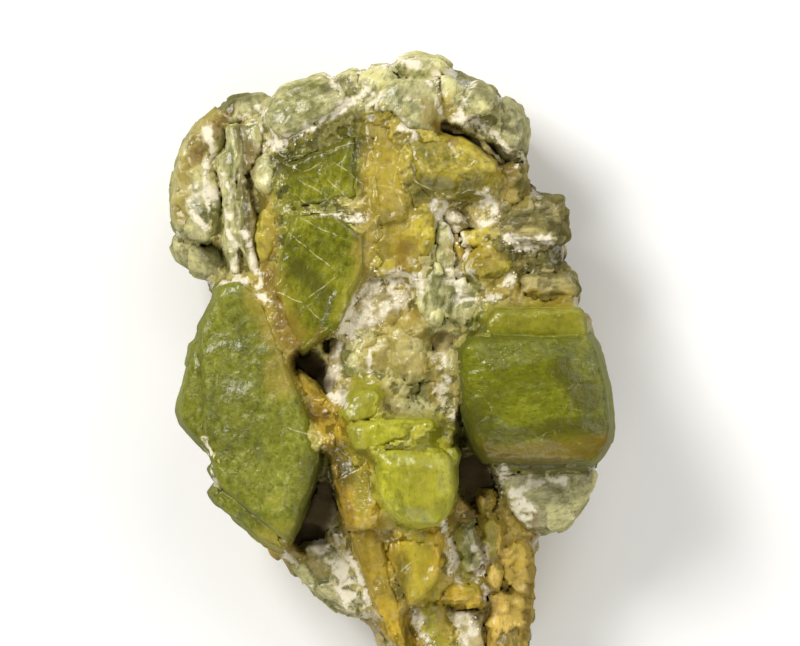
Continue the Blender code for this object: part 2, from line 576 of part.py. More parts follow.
def stone_between(name, faces, group):
    """Cuts a rough cube along each face and keeps the inside, as a stone is faceted."""
    shape = bmesh.new()
    bmesh.ops.create_cube(shape, size=ROUGH_SIZE)
    for point, normal in faces:
        everything = shape.verts[:] + shape.edges[:] + shape.faces[:]
        cut = bmesh.ops.bisect_plane(
            shape, geom=everything, plane_co=point, plane_no=normal, clear_outer=True
        )
        rim = [e for e in cut["geom_cut"] if isinstance(e, bmesh.types.BMEdge)]
        if rim:
            bmesh.ops.edgeloop_fill(shape, edges=rim)
    bmesh.ops.remove_doubles(shape, verts=shape.verts[:], dist=WELD)
    bmesh.ops.dissolve_degenerate(shape, edges=shape.edges[:], dist=WELD)
    bmesh.ops.recalc_face_normals(shape, faces=shape.faces[:])
    bmesh.ops.translate(shape, vec=(-CENTRE[0], -CENTRE[1], 0.0), verts=shape.verts[:])
    bmesh.ops.scale(shape, vec=(MM, MM, MM), verts=shape.verts[:])
    mesh = bpy.data.meshes.new(name)
    shape.to_mesh(mesh)
    shape.free()
    made = bpy.data.objects.new(name, mesh)
    group.objects.link(made)
    return made


def as_helper(thing):
    thing.hide_render = True
    thing.display_type = "WIRE"
    return thing


def boolean(thing, operation, others):
    """Joins others to thing, or cuts them from it, all at once."""
    if not others:
        return
    group = bpy.data.collections.new(f"{thing.name}_{operation.lower()}")
    for other in others:
        group.objects.link(other)
    step = thing.modifiers.new(operation.title(), "BOOLEAN")
    step.operation = operation
    step.operand_type = "COLLECTION"
    step.collection = group
    step.solver = "EXACT"


def box_of(block):
    xs, ys = zip(*block.outline)
    return min(xs), max(xs), min(ys), max(ys)


def near(block, others):
    """True if a block's outline box comes within reach of one of the others'."""
    reach = 2 * GAP
    left, right, bottom, top = box_of(block)
    for other in others:
        a, b, c, d = box_of(other)
        if left - reach < b and a < right + reach and bottom - reach < d and c < top + reach:
            return True
    return False


def build_specimen():
    specimen = collection("peridot_specimen")
    helpers = collection("helpers")
    rooms = []
    matrix = ("matrix", MATRIX + crust(), CHALK)
    for name, blocks, (finish_name, colour, roughness) in CRYSTALS + [matrix]:
        stones = [
            stone_between(f"{name}_block_{i}", faces_of(block), helpers)
            for i, block in enumerate(blocks)
        ]
        body = stones[0]
        body.name = name
        helpers.objects.unlink(body)
        specimen.objects.link(body)
        body.data.materials.append(finish(finish_name, colour, roughness))
        boolean(body, "UNION", [as_helper(stone) for stone in stones[1:]])
        boolean(body, "DIFFERENCE", [room for block, room in rooms if near(block, blocks)])
        for i, block in enumerate(blocks):
            room = stone_between(f"{name}_room_{i}", room_of(block), helpers)
            rooms.append((block, as_helper(room)))


clear_scene()
build_specimen()
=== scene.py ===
"""The looks of a peridot specimen: etched olivine crystals grown together, seen from above.

Each crystal is shaped from the solid that it stands for, then gets its growth steps, striations
and etch pits. A sugary mass of small grains and chalk fills the seams between them. The code
counts in millimetres and turns them to metres where a mesh is made.
"""

import itertools
import json
import math
import random
from dataclasses import dataclass

import bmesh
import bpy
import numpy as np
from mathutils import Matrix, Vector
from mathutils.bvhtree import BVHTree

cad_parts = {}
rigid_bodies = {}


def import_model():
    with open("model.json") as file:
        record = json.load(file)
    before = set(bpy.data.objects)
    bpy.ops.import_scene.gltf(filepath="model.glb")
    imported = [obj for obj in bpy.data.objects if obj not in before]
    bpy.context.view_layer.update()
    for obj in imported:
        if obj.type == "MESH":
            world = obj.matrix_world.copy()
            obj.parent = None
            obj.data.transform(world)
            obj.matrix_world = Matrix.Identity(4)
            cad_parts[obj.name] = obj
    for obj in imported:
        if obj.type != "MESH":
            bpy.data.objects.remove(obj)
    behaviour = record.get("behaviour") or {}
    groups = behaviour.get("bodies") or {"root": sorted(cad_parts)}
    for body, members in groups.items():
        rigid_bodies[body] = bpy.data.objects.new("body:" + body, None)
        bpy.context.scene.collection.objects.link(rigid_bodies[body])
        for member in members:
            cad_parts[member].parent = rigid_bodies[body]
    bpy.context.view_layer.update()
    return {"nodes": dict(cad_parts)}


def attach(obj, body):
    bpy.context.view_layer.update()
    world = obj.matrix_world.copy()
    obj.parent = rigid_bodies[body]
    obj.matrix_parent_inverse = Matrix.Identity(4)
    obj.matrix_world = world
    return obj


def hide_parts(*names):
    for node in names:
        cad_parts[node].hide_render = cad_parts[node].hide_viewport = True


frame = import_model()

bl_info = {
    "name": "Peridot specimen",
    "version": (1, 0, 0),
    "blender": (4, 5, 0),
    "location": "3D View > Sidebar > Peridot",
    "description": "Shapes and finishes a peridot specimen round its packed solids",
    "category": "Object",
}

MM = 0.001

# The outlines of the solids are drawn about this point, in millimetres. Every x and y in the
# tables below counts from there, 0.1 mm to a pixel of the photograph.
CENTRE = (-0.05, -0.448)
# The camera: the middle, width and level of what fills the picture, and its lens and sensor.
VIEW_MIDDLE = (0.8, 4.7)
VIEW_WIDTH = 80.0
VIEW_LEVEL = 12.0
LENS = 250.0
SENSOR = 36.0

# One seed for each family of patterns, so that every run gives the same stone.
DRIFT_SEEDS = (51, 52, 53)
CRACK_SEEDS = (56, 57)
GRIT_SEED = 61
GROUND_SEED = 401
SEAM_SEED = 503
GRAIN_SEED = 31

# Marks on the surface: each is how far it reaches, then the corners of the line it follows.
# First white powder, in veins between the crystals and on their faces; a few entries are painted
# highlights.
CHALK = [
    (0.70, [(-13.0, 22.0), (-10.1, 23.0), (-7.2, 24.6), (-4.4, 26.4), (-2.2, 27.3)]),
    (0.39, [(-13.0, 25.8), (-12.0, 24.0), (-10.7, 22.2)]),
    (0.45, [(-6.5, 29.0), (-4.5, 27.0)]),
    (0.91, [(-2.9, 29.5), (-0.4, 30.0)]),
    (0.65, [(0.6, 31.0), (2.8, 30.2)]),
    (0.59, [(-18.2, 23.7), (-18.1, 19.5), (-17.4, 16.6)]),
    (0.8, [(-19.4, 15.6), (-18.6, 14.3)]),
    (0.65, [(-17.8, 16.4), (-18.4, 18.6), (-20.2, 17.2)]),
    (0.42, [(-16.2, 19.0), (-16.0, 14.0), (-15.6, 9.4)]),
    (0.33, [(-14.6, 14.0), (-13.6, 10.6), (-13.0, 8.6)]),
    (0.33, [(-15.0, 25.0), (-13.4, 24.4), (-12.5, 23.0)]),
    (1.75, [(1.6, 9.0), (-0.7, 7.8), (-3.0, 6.0), (-4.4, 4.2)]),
    (0.78, [(-4.7, 4.0), (-5.7, 1.5), (-6.2, -1.5), (-4.9, -3.2)]),
    (1.10, [(4.6, 16.0), (6.2, 14.5), (6.5, 12.5), (7.0, 10.0), (6.2, 7.8), (7.8, 7.0)]),
    (0.52, [(7.8, 7.0), (10.5, 7.3), (11.6, 9.2)]),
    (1.0, [(9.3, 17.0), (10.0, 15.0), (8.6, 14.4)]),
    (0.78, [(11.4, 12.9), (13.4, 12.4), (15.6, 13.0)]),
    (0.72, [(4.8, 1.5), (5.5, -0.5), (5.1, -2.5), (6.0, -4.5)]),
    (0.36, [(-2.0, 1.9), (-1.9, 0.4), (-2.2, -1.3)]),
    (1.04, [(10.8, -9.9), (12.0, -12.0), (13.1, -14.0)]),
    (0.45, [(12.4, -11.6), (15.3, -10.8), (18.3, -11.0)]),
    (0.36, [(-6.1, -10.0), (-6.4, -13.0), (-5.6, -16.5), (-4.2, -19.0)]),
    (0.62, [(2.2, -22.8), (2.9, -25.2), (3.6, -27.6)]),
    (0.50, [(7.2, -23.7), (8.2, -25.8)]),
    (0.45, [(6.4, -25.2), (7.3, -27.6)]),
    (1.25, [(-7.2, -17.5), (-5.4, -19.5), (-4.0, -23.0)]),
    (0.40, [(5.1, -14.8), (5.8, -18.0), (6.6, -21.2)]),
    (0.32, [(-8.4, 15.6), (-5.6, 15.2), (-2.6, 15.0)]),
    # The next four are painted highlights: chalk-white streaks standing in for glints along the
    # left tablet's edges.
    (0.18, [(-18.4, -6.8), (-17.4, -8.2)]),
    (0.18, [(-17.9, -9.8), (-17.2, -10.6)]),
    (0.38, [(-16.6, 8.6), (-14.6, 8.8)]),
    (0.26, [(-13.2, 8.2), (-12.2, 6.8)]),
    (0.80, [(8.6, -17.6), (9.0, -22.4)]),
    (0.52, [(-4.8, -18.0), (-3.2, -20.5), (-2.4, -23.6)]),
    (0.65, [(6.3, 24.9), (8.3, 24.5), (9.8, 23.7)]),
    (0.78, [(10.2, 23.4), (11.1, 22.2), (12.0, 21.6)]),
    (0.45, [(0.8, 24.0), (2.3, 22.9)]),
    (0.45, [(-2.6, 26.0), (0.2, 27.2), (3.0, 26.2)]),
    (0.40, [(4.2, 29.0), (4.6, 25.8)]),
    (0.40, [(7.8, 28.2), (6.8, 25.2)]),
]
# Long cracks that have grown shut: the corners of each.
CRACKS = [
    [(-17.2, -11.4), (-14.6, -13.5), (-11.9, -15.7)],
    [(-11.7, 8.0), (-8.9, 6.7), (-5.2, 3.5)],
    [(-5.7, 9.0), (-8.2, 7.2)],
    [(-9.4, 2.0), (-6.4, 4.2)],
    [(-9.2, 15.7), (-5.2, 15.4), (-1.7, 14.8)],
    [(-9.9, 13.4), (-7.6, 11.4), (-5.9, 10.2)],
    [(-8.6, 14.8), (-5.4, 13.3)],
    [(-10.6, 20.8), (-6.6, 21.6), (-3.4, 22.4)],
    [(-10.6, 20.4), (-9.0, 19.6), (-7.0, 20.2)],
    [(-8.8, 18.6), (-5.8, 16.6)],
    [(-7.0, 19.4), (-4.4, 17.0)],
    [(-5.8, 20.6), (-3.0, 18.4)],
    [(-9.4, 17.2), (-7.0, 15.6), (-4.6, 15.8)],
    [(-6.8, 17.6), (-4.2, 16.4), (-2.4, 17.2)],
    [(-10.0, -5.6), (-7.0, -6.6), (-7.3, -8.9)],
    [(-2.8, 23.6), (-1.4, 20.2), (-2.2, 17.0), (-1.2, 13.0)],
    [(1.0, 22.0), (0.2, 18.4), (1.4, 15.2)],
    [(-2.4, 18.4), (0.6, 17.8)],
    [(-3.2, -10.4), (-1.2, -14.0), (-3.0, -15.2)],
    [(-2.0, -11.0), (-2.7, -15.5)],
    [(-0.9, -16.8), (1.8, -16.0), (4.3, -15.5)],
    [(4.8, -16.5), (6.0, -20.0)],
    [(-0.2, -20.6), (1.9, -19.0)],
    [(-4.8, -8.0), (-3.0, -9.4)],
    [(2.2, 18.6), (5.4, 17.2), (9.0, 18.0)],
    [(-2.6, 4.4), (0.4, 3.2), (2.6, 4.0)],
    [(3.8, -0.8), (4.4, -2.4)],
]
# Brown iron stain along borders.
STAIN = [
    (1.3, [(-10.4, 4.8), (-9.3, 0.6)]),
    (0.9, [(-8.0, -3.4), (-6.6, -4.6)]),
    (1.5, [(8.6, -7.9), (13.0, -8.2), (17.0, -8.0), (20.4, -7.2)]),
    (1.2, [(-7.4, 3.4)]),
    (0.7, [(-5.4, -7.0), (-4.9, -11.0), (-4.2, -16.0)]),
    (0.9, [(-12.2, 9.4), (-10.5, 4.0)]),
    (0.6, [(-19.7, 21.0), (-17.6, 23.8), (-15.4, 26.4)]),
    (0.8, [(-14.2, 22.0), (-13.6, 19.4)]),
    (0.8, [(4.4, 24.2), (6.2, 22.9)]),
    (0.8, [(9.0, 21.8), (12.0, 20.2)]),
    (0.6, [(-15.0, 24.6), (-14.4, 19.0), (-14.2, 12.0)]),
    (0.8, [(13.9, -14.6), (13.9, -19.0), (13.5, -26.0)]),
    (0.45, [(9.4, -19.0), (9.8, -24.0)]),
    (0.7, [(1.4, 12.0), (0.0, 8.8)]),
    (0.8, [(-9.6, -17.6), (-8.6, -18.2)]),
]
# Amber tinge of thin iron films.
GILD = [
    (1.9, [(-0.4, 23.0), (0.0, 18.0), (0.8, 13.0), (1.4, 9.6)]),
    (1.3, [(6.8, 12.2), (9.4, 11.0)]),
    (1.0, [(10.0, 8.0), (17.0, 6.6)]),
    (1.5, [(-0.2, 3.6), (2.6, 4.4)]),
    (2.0, [(-12.2, 8.8), (-10.8, 3.4), (-9.8, -0.6)]),
    (1.3, [(-12.2, -17.4), (-8.8, -18.0)]),
    (0.9, [(-2.3, 22.0), (-2.2, 13.0), (-3.4, 7.6)]),
    (1.7, [(-1.6, 1.6), (2.6, 0.8)]),
    (0.6, [(4.6, 1.6), (4.4, -3.2)]),
    (1.9, [(-4.0, -12.0), (-1.6, -18.0), (0.4, -23.4)]),
    (1.2, [(4.4, -21.0), (9.0, -21.8)]),
    (1.4, [(10.8, -13.4), (12.4, -17.6), (12.6, -24.0)]),
    (0.8, [(-12.2, 17.0), (-12.0, 12.0)]),
    (1.0, [(-17.6, 25.4), (-20.8, 19.4)]),
    (0.9, [(-8.6, -18.6), (-7.2, -20.0)]),
    (1.2, [(12.4, 17.0), (12.0, 19.6)]),
    (0.8, [(5.2, 26.6), (6.4, 25.4)]),
    (0.6, [(4.7, -23.8), (5.3, -27.4)]),
    (1.0, [(-20.4, 19.0), (-20.8, 15.6)]),
    (0.9, [(3.4, 26.4), (4.0, 24.6)]),
]
# Painted glow: yellow-green painted where light would come through thin places.
PAINTED_GLOW = [
    (1.3, [(-12.6, -16.6), (-9.4, -15.6)]),
    (0.8, [(-11.4, -12.8)]),
    (1.5, [(10.0, 5.2), (18.6, 5.2)]),
    (1.6, [(2.6, -10.0), (3.4, -12.6)]),
    (0.9, [(-3.0, -3.0), (-3.2, -0.8)]),
    (1.1, [(-3.8, -4.8), (-3.0, -9.0), (-2.6, -13.0)]),
    (1.7, [(2.4, -17.4), (2.8, -21.6)]),
    (1.0, [(-4.4, 5.6), (-3.6, 8.8)]),
    (0.9, [(6.2, -16.4), (7.8, -21.0)]),
    (0.8, [(9.2, -14.0), (9.6, -17.6)]),
    (0.7, [(3.6, -24.2), (4.4, -27.0)]),
]
# Painted shade: dark olive put where shade falls, in hollows and gaps, on facets turned from the
# light and under ledges.
PAINTED_SHADE = [
    (2.2, [(-9.6, 21.2), (-6.4, 22.8), (-3.6, 23.8)]),
    (1.3, [(16.6, 0.4), (19.0, -3.0)]),
    (0.6, [(-17.8, 26.4), (-14.4, 27.0)]),
    (0.7, [(6.6, 29.4), (10.4, 26.4)]),
    (0.6, [(-6.4, 27.6), (-4.4, 28.6)]),
    (0.8, [(-18.6, 11.6), (-16.8, 11.0)]),
    (0.9, [(1.0, -18.6), (0.6, -22.0)]),
    (0.9, [(9.4, -6.2), (20.4, -5.4)]),
    (0.45, [(10.8, 14.6), (17.2, 14.0)]),
    (0.4, [(11.2, 12.0), (17.0, 11.6)]),
    (0.45, [(12.8, 18.6), (16.8, 16.6)]),
    (0.4, [(12.4, 9.4), (17.8, 9.2)]),
    (0.6, [(8.2, -9.2), (19.8, -9.5)]),
    (1.2, [(2.2, 18.2), (8.4, 17.8)]),
    (2.1, [(-7.5, -9.6), (-7.2, -13.0), (-8.2, -16.4)]),
    (2.1, [(7.6, -5.0), (7.6, -9.0), (8.4, -11.0)]),
    (1.5, [(-8.6, 0.9), (-7.0, -1.2)]),
    (0.5, [(-15.2, 24.0), (-14.5, 18.0), (-14.2, 11.0)]),
    (1.0, [(-5.2, -7.6), (-4.4, -10.4)]),
    (1.0, [(11.4, 15.8), (17.4, 14.6)]),
    (0.8, [(10.9, 11.8), (16.8, 10.8)]),
    (1.0, [(-9.0, 10.0), (-6.0, 7.0)]),
]
# Where the seams take up the colour of one crystal: its name, reach and line.
MASSES = [
    ("pale", 3.2, [(-11.2, 26.0), (-4.0, 28.2), (3.0, 28.4), (9.6, 25.2)]),
    ("grey", 3.0, [(-20.0, 24.0), (-20.8, 14.0)]),
    ("olive", 2.4, [(-10.2, 18.2), (-6.0, 18.8), (-2.6, 21.0)]),
    ("olive", 3.8, [(-8.8, 19.0), (-8.4, 14.0), (-7.0, 6.0)]),
    ("gold", 2.5, [(-0.6, 25.0), (-0.2, 16.0), (1.0, 10.0)]),
    ("gold", 3.4, [(2.0, 21.4), (9.4, 18.6)]),
    ("pale", 2.6, [(4.0, 13.0), (5.0, 5.6)]),
    ("ledge", 3.4, [(12.4, 16.0), (16.4, 15.4), (16.2, 8.4)]),
    ("brown", 3.0, [(6.4, -15.0), (11.0, -16.0), (11.6, -27.0)]),
    ("pale", 2.8, [(-2.4, 2.0), (4.0, 2.0), (3.4, -3.4)]),
    ("gold", 1.6, [(-12.8, 8.6), (-10.2, 3.0)]),
    ("amber", 2.2, [(-6.0, -4.0), (-4.2, -10.0), (-2.0, -17.0), (0.2, -23.0), (2.0, -27.0)]),
    ("amber", 2.8, [(2.4, -17.0), (2.6, -22.4)]),
    ("bright", 1.7, [(-2.6, -1.6), (-2.8, -5.6), (4.8, -5.8)]),
    ("bright", 1.5, [(-1.2, -8.0), (5.2, -8.0), (5.4, -12.0), (1.6, -14.6), (-1.4, -12.0)]),
    ("green", 2.2, [(-20.0, -4.0), (-18.0, -11.0), (-11.0, -16.0)]),
    ("deep_green", 2.2, [(9.0, 4.4), (20.0, 4.4)]),
    ("gold", 3.0, [(4.8, -24.8), (6.4, -27.8)]),
]
# Holes between the crystals, which the seams leave open.
HOLLOWS = [
    (1.3, [(-8.4, 0.6), (-7.2, -1.0)]),
    (0.8, [(-6.0, 2.4)]),
    (1.5, [(-7.6, -9.5), (-7.3, -13.0), (-8.2, -16.5)]),
    (1.0, [(4.9, 3.0)]),
    (1.6, [(8.0, -5.0), (7.4, -9.0), (8.8, -12.0)]),
    (0.7, [(5.4, 23.4), (9.0, 21.9), (12.2, 20.4)]),
    (0.7, [(-18.3, 12.2)]),
    (0.35, [(10.4, -15.6), (10.6, -19.0), (10.4, -23.0)]),
]
# Where the seams lie low, so that the crystals beside them stand out.
LOW_SEAMS = [
    (2.6, [(-15.4, 22.0), (-14.8, 12.0)]),
    (4.4, [(9.6, -15.0), (10.4, -25.0)]),
    (2.4, [(14.6, 17.0), (14.8, 8.6)]),
    (2.0, [(6.4, 14.0), (6.0, 6.0)]),
]
# Where the small grains lie over the ground mass as well.
COVERED = [
    (2.8, [(4.0, -25.4), (7.4, -25.4)]),
    (2.8, [(4.0, -27.8), (7.4, -27.8)]),
]

# Where each mark starts to fade and where it ends, as shares of its reach, then how many
# millimetres its border sways.
FADES = {
    "stain": (STAIN, 0.3, 1.25, 0.9),
    "gild": (GILD, 0.4, 1.5, 1.0),
    "glow": (PAINTED_GLOW, 0.4, 1.5, 0.8),
    "shade": (PAINTED_SHADE, 0.4, 1.4, 0.6),
}


def srgb(hex_colour):
    """An sRGB hex colour as linear values."""
    values = [int(hex_colour[i:i + 2], 16) / 255 for i in (0, 2, 4)]
    return [v / 12.92 if v <= 0.04045 else ((v + 0.055) / 1.055) ** 2.4 for v in values]


def tint(name, about, hex_colour):
    """A colour property with its default from sRGB hex."""
    return bpy.props.FloatVectorProperty(
        name=name, description=about, subtype="COLOR", size=3, min=0.0, max=1.0,
        default=srgb(hex_colour),
    )


def length(name, about, millimetres):
    """A length property."""
    return bpy.props.FloatProperty(
        name=name, description=about, default=millimetres * MM, unit="LENGTH", precision=5,
    )


class StoneColours(bpy.types.PropertyGroup):
    """Colours of the olivine, the chalk and the floor."""

    green: tint("Green", "The big green tablets", "787A1A")
    deep_green: tint("Deep green", "The barrel crystal", "747608")
    olive: tint("Olive", "The upper tablet", "7E7E10")
    bright: tint("Bright", "The front crystal", "B4B02A")
    gold: tint("Gold", "The golden crystals", "B6A436")
    amber: tint("Amber", "The amber blade", "BC9A22")
    pale: tint("Pale", "The pale crystals", "BEB880")
    grey: tint("Grey", "The frosted crystals", "ACA674")
    brown: tint("Brown", "The weathered crystals", "C4A44A")
    ledge: tint("Ledge", "The stack of ledges", "948650")
    mixed: tint("Mixed", "The small grains between the crystals", "B4A458")
    stain: tint("Stain", "Iron stain along borders and cracks", "7A5A18")
    gild: tint("Gilding", "Amber tinge of thin iron films", "AE9634")
    # Painted glow: the yellow-green painted where light would come through thin places.
    glow: tint("Painted glow", "Yellow-green where light comes through", "A8A030")
    # Painted shade: dark olive laid over crystals in hollows, gaps and facets turned from the
    # light.
    shade: tint("Painted shade", "Dark olive depths", "4A460A")
    healed: tint("Healed cracks", "Fine pale lines where cracks grew shut", "D2CB96")
    chalk: tint("Chalk", "White powdery mineral between crystals", "E9E1C8")
    tan: tint("Tan", "Iron-tinted chalk", "B8A672")
    # Both a real dark tone of the ground mass and painted shade laid in its hollows and gaps.
    earth_and_hollow_shade: tint("Earth and shade", "Deep hollows of the ground mass", "4A3C1C")
    floor: tint("Floor", "Plain pale floor", "F6F5F2")


class StoneSizes(bpy.types.PropertyGroup):
    """How fine the surfaces are, and how proud they stand of the solids."""

    fine: length("Fine mesh", "Mesh spacing on the crystals", 0.205)
    coarse: length("Ground mesh", "Mesh spacing on the ground mass", 0.40)
    seam: length("Seam mesh", "Mesh spacing on the mass that fills the seams", 0.175)
    swell: length("Swell", "How far crystals stand proud, to close up to each other", 0.14)
    bridge: length("Bridge", "Half the widest seam that is filled", 1.5)
    grains: bpy.props.IntProperty(
        name="Chalk grains", description="Grains tried over the specimen", default=30000, min=0,
    )


# Repeatable noise


def lattice(x, y, z, seed):
    """A repeatable value from 0 to 1 for each whole-number corner."""
    mix = (x * 374761393 + y * 668265263 + z * 2147483647 + seed * 974634777) & 0xFFFFFFFF
    mix = ((mix ^ (mix >> 13)) * 1274126177) & 0xFFFFFFFF
    return ((mix ^ (mix >> 16)) & 0xFFFFFF) / 0xFFFFFF


def noise(points, size, seed):
    """Smooth noise from -1 to 1, with blobs about size across."""
    where = points / size
    cell = np.floor(where).astype(np.int64)
    part = where - cell
    part = part * part * (3 - 2 * part)
    total = np.zeros(len(points))
    for corner in itertools.product((0, 1), repeat=3):
        weight = np.prod(np.where(corner, part, 1 - part), axis=1)
        total += weight * lattice(*(cell + corner).T, seed)
    return 2 * total - 1


def cloud(points, size, octaves, seed):
    """Noise summed over octaves, from about -1 to 1."""
    total = np.zeros(len(points))
    strength = 0.67
    for octave in range(octaves):
        total += strength * noise(points, size, seed + 17 * octave)
        size /= 2.1
        strength /= 2
    return total


def mosaic(points, size, seed):
    """The nearest of scattered points: how far it is, the slope of its own flat face, its value."""
    where = points / size
    cell = np.floor(where).astype(np.int64)
    best = np.full(len(points), 9.0)
    gap = np.zeros(points.shape)
    owner = cell.copy()
    for step in itertools.product((-1, 0, 1), repeat=3):
        near = cell + step
        offset = near + np.stack([lattice(*near.T, seed + k) for k in range(3)], axis=1) - where
        distance = np.linalg.norm(offset, axis=1)
        closer = distance < best
        best[closer] = distance[closer]
        gap[closer] = offset[closer]
        owner[closer] = near[closer]
    lean = np.stack([lattice(*owner.T, seed + k) for k in (5, 6, 7)], axis=1) - 0.5
    return best, (gap * lean).sum(axis=1), lattice(*owner.T, seed + 8)


def ramp(values, low, high):
    """0 below low, 1 above high and smooth between."""
    t = np.clip((values - low) / (high - low), 0, 1)
    return t * t * (3 - 2 * t)


def beside(place, line):
    """Each point's distance from a line of corners seen from above, minus on its right."""
    best = np.full(len(place), 99.0)
    for start, end in zip(line, line[1:] or line):
        step = np.subtract(end, start)
        off = place - start
        part = np.clip(off @ step / max(step @ step, 1e-9), 0, 1)
        gap = off - part[:, None] * step
        distance = np.hypot(*gap.T)
        side = np.where(step[0] * off[:, 1] - step[1] * off[:, 0] < 0, -1.0, 1.0)
        best = np.where(distance < np.abs(best), distance * side, best)
    return best


def heading(angle):
    """The level direction at some degrees from the X axis."""
    return np.array([math.cos(math.radians(angle)), math.sin(math.radians(angle)), 0.0])


def drift(place):
    """How far the borders of marks wander at each point, and how unevenly wide they are."""
    return np.column_stack([cloud(place, 2.0, 3, seed) for seed in DRIFT_SEEDS])


def marks(place, wander, shapes, inner, outer, sway, uneven=0.0):
    """1 on the marks and 0 away from them, with borders that sway by some millimetres."""
    moved = place[:, :2] + sway * wander[:, :2]
    swollen = 1 + uneven * wander[:, 2]
    total = np.zeros(len(place))
    for reach, line in shapes:
        away = np.abs(beside(moved, line)) / (reach * swollen)
        total = np.maximum(total, 1 - ramp(away, inner, outer))
    return total


def nearest_crack(place):
    """Distance to the nearest crack, with its side as the sign, held to a millimetre."""
    sway = np.column_stack([cloud(place, 1.2, 2, seed) for seed in CRACK_SEEDS])
    moved = place[:, :2] + 0.25 * sway
    best = np.full(len(place), 9.0)
    for line in CRACKS:
        distance = beside(moved, line)
        best = np.where(np.abs(distance) < np.abs(best), distance, best)
    return np.clip(best, -1, 1)


# Meshes from the solids

# How much averaged normals shorten on a flat face and at an edge.
FLAT = 0.02
SHARP = 0.12


def smooth_copy(name, node, spacing):
    """An evenly meshed object with the shape of a solid."""
    rough = frame["nodes"][node].data.copy()
    helper = bpy.data.objects.new(name + "_rough", rough)
    bpy.context.scene.collection.objects.link(helper)
    remesh = helper.modifiers.new("Even", "REMESH")
    remesh.mode = "VOXEL"
    remesh.voxel_size = spacing
    settled = helper.evaluated_get(bpy.context.evaluated_depsgraph_get())
    mesh = bpy.data.meshes.new_from_object(settled)
    bpy.data.objects.remove(helper, do_unlink=True)
    bpy.data.meshes.remove(rough)
    mesh.name = name
    made = bpy.data.objects.new(name, mesh)
    bpy.context.scene.collection.objects.link(made)
    return made


class Skin:
    """The points of a mesh as arrays in millimetres, and what relief and marks need of them."""

    def __init__(self, mesh):
        self.mesh = mesh
        count = len(mesh.vertices)
        flat = np.empty(count * 3)
        mesh.vertices.foreach_get("co", flat)
        self.points = flat.reshape(-1, 3) / MM
        mesh.vertices.foreach_get("normal", flat)
        self.normals = flat.reshape(-1, 3).copy()
        ends = np.empty(len(mesh.edges) * 2, dtype=np.int64)
        mesh.edges.foreach_get("vertices", ends)
        self.ends = ends.reshape(-1, 2)
        self.place = self.points + np.array([*CENTRE, 0.0])

    def average(self, values, rounds):
        """Each point's value averaged with its neighbours' some number of times."""
        count = len(self.points)
        one, two = self.ends.T
        links = 1 + np.bincount(one, minlength=count) + np.bincount(two, minlength=count)
        values = values.copy()
        for _ in range(rounds):
            for k in range(values.shape[1]):
                column = values[:, k]
                total = column + np.bincount(one, column[two], count)
                values[:, k] = (total + np.bincount(two, column[one], count)) / links
        return values

    def outward(self):
        """Smoothed normals, and how near each point is to an edge, from 0 to 1."""
        soft = self.average(self.normals, 3)
        wide = self.average(soft, 4)
        edge = ramp(1 - np.linalg.norm(wide, axis=1), FLAT, SHARP)
        return soft / np.linalg.norm(soft, axis=1)[:, None], edge

    def push(self, distance, along):
        """Moves every point out by its distance, but none below the floor."""
        self.points = self.points + along * distance[:, None]
        self.points[:, 2] = np.maximum(self.points[:, 2], 0.0)
        self.mesh.vertices.foreach_set("co", (self.points * MM).ravel())

    def store(self, name, values):
        """Keeps a value a point for the materials to read."""
        layer = self.mesh.attributes.new(name, "FLOAT", "POINT")
        layer.data.foreach_set("value", values.astype(np.float32))

    def mark(self, axis, squeeze, patch, dust):
        """Stores every mark that the materials read. dust is chalk to add to the veins."""
        place = self.place
        wander = drift(place)
        grit = cloud(place, 0.8, 3, GRIT_SEED)
        vein = marks(place, wander, CHALK, 0.2, 1.7, 0.6, 0.9) * ramp(grit, -0.5, 0.15)
        self.store("chalk", np.clip(np.maximum(vein, dust * ramp(grit, -0.3, 0.3)), 0, 1))
        for name, fade in FADES.items():
            self.store(name, marks(place, wander, *fade))
        self.store("crack", nearest_crack(place))
        self.store("patch", patch)

        # Fibres run along the axis: places are squeezed that way, so noise comes out drawn long.
        along = heading(axis)
        fibre = place - squeeze * np.outer(place @ along, along)
        layer = self.mesh.attributes.new("fibre", "FLOAT_VECTOR", "POINT")
        layer.data.foreach_set("vector", fibre.astype(np.float32).ravel())


@dataclass
class Look:
    """How one crystal is finished and shaped. Distances are in millimetres.

    axis is the way its length runs, in degrees. wave is slow rolling, step the height of a growth
    step and bands how many there are, rib and rib_width the striations, and pit and chip the depth
    of pits and of edge wear. grain and grain_size are the small flat faces of a crystal that is a
    pack of many. dust is chalk, and fibre how long its flecks are drawn, up to 1.
    """

    node: str
    finish: str
    slot: str
    axis: float = 90.0
    wave: float = 0.16
    step: float = 0.08
    bands: float = 3.0
    rib: float = 0.02
    rib_width: float = 0.7
    pit: float = 0.05
    chip: float = 0.25
    grain: float = 0.0
    grain_size: float = 1.4
    dust: float = 0.0
    fibre: float = 0.6

    @property
    def seed(self):
        """Where the crystal's own patterns start."""
        return sum(ord(letter) for letter in self.node)


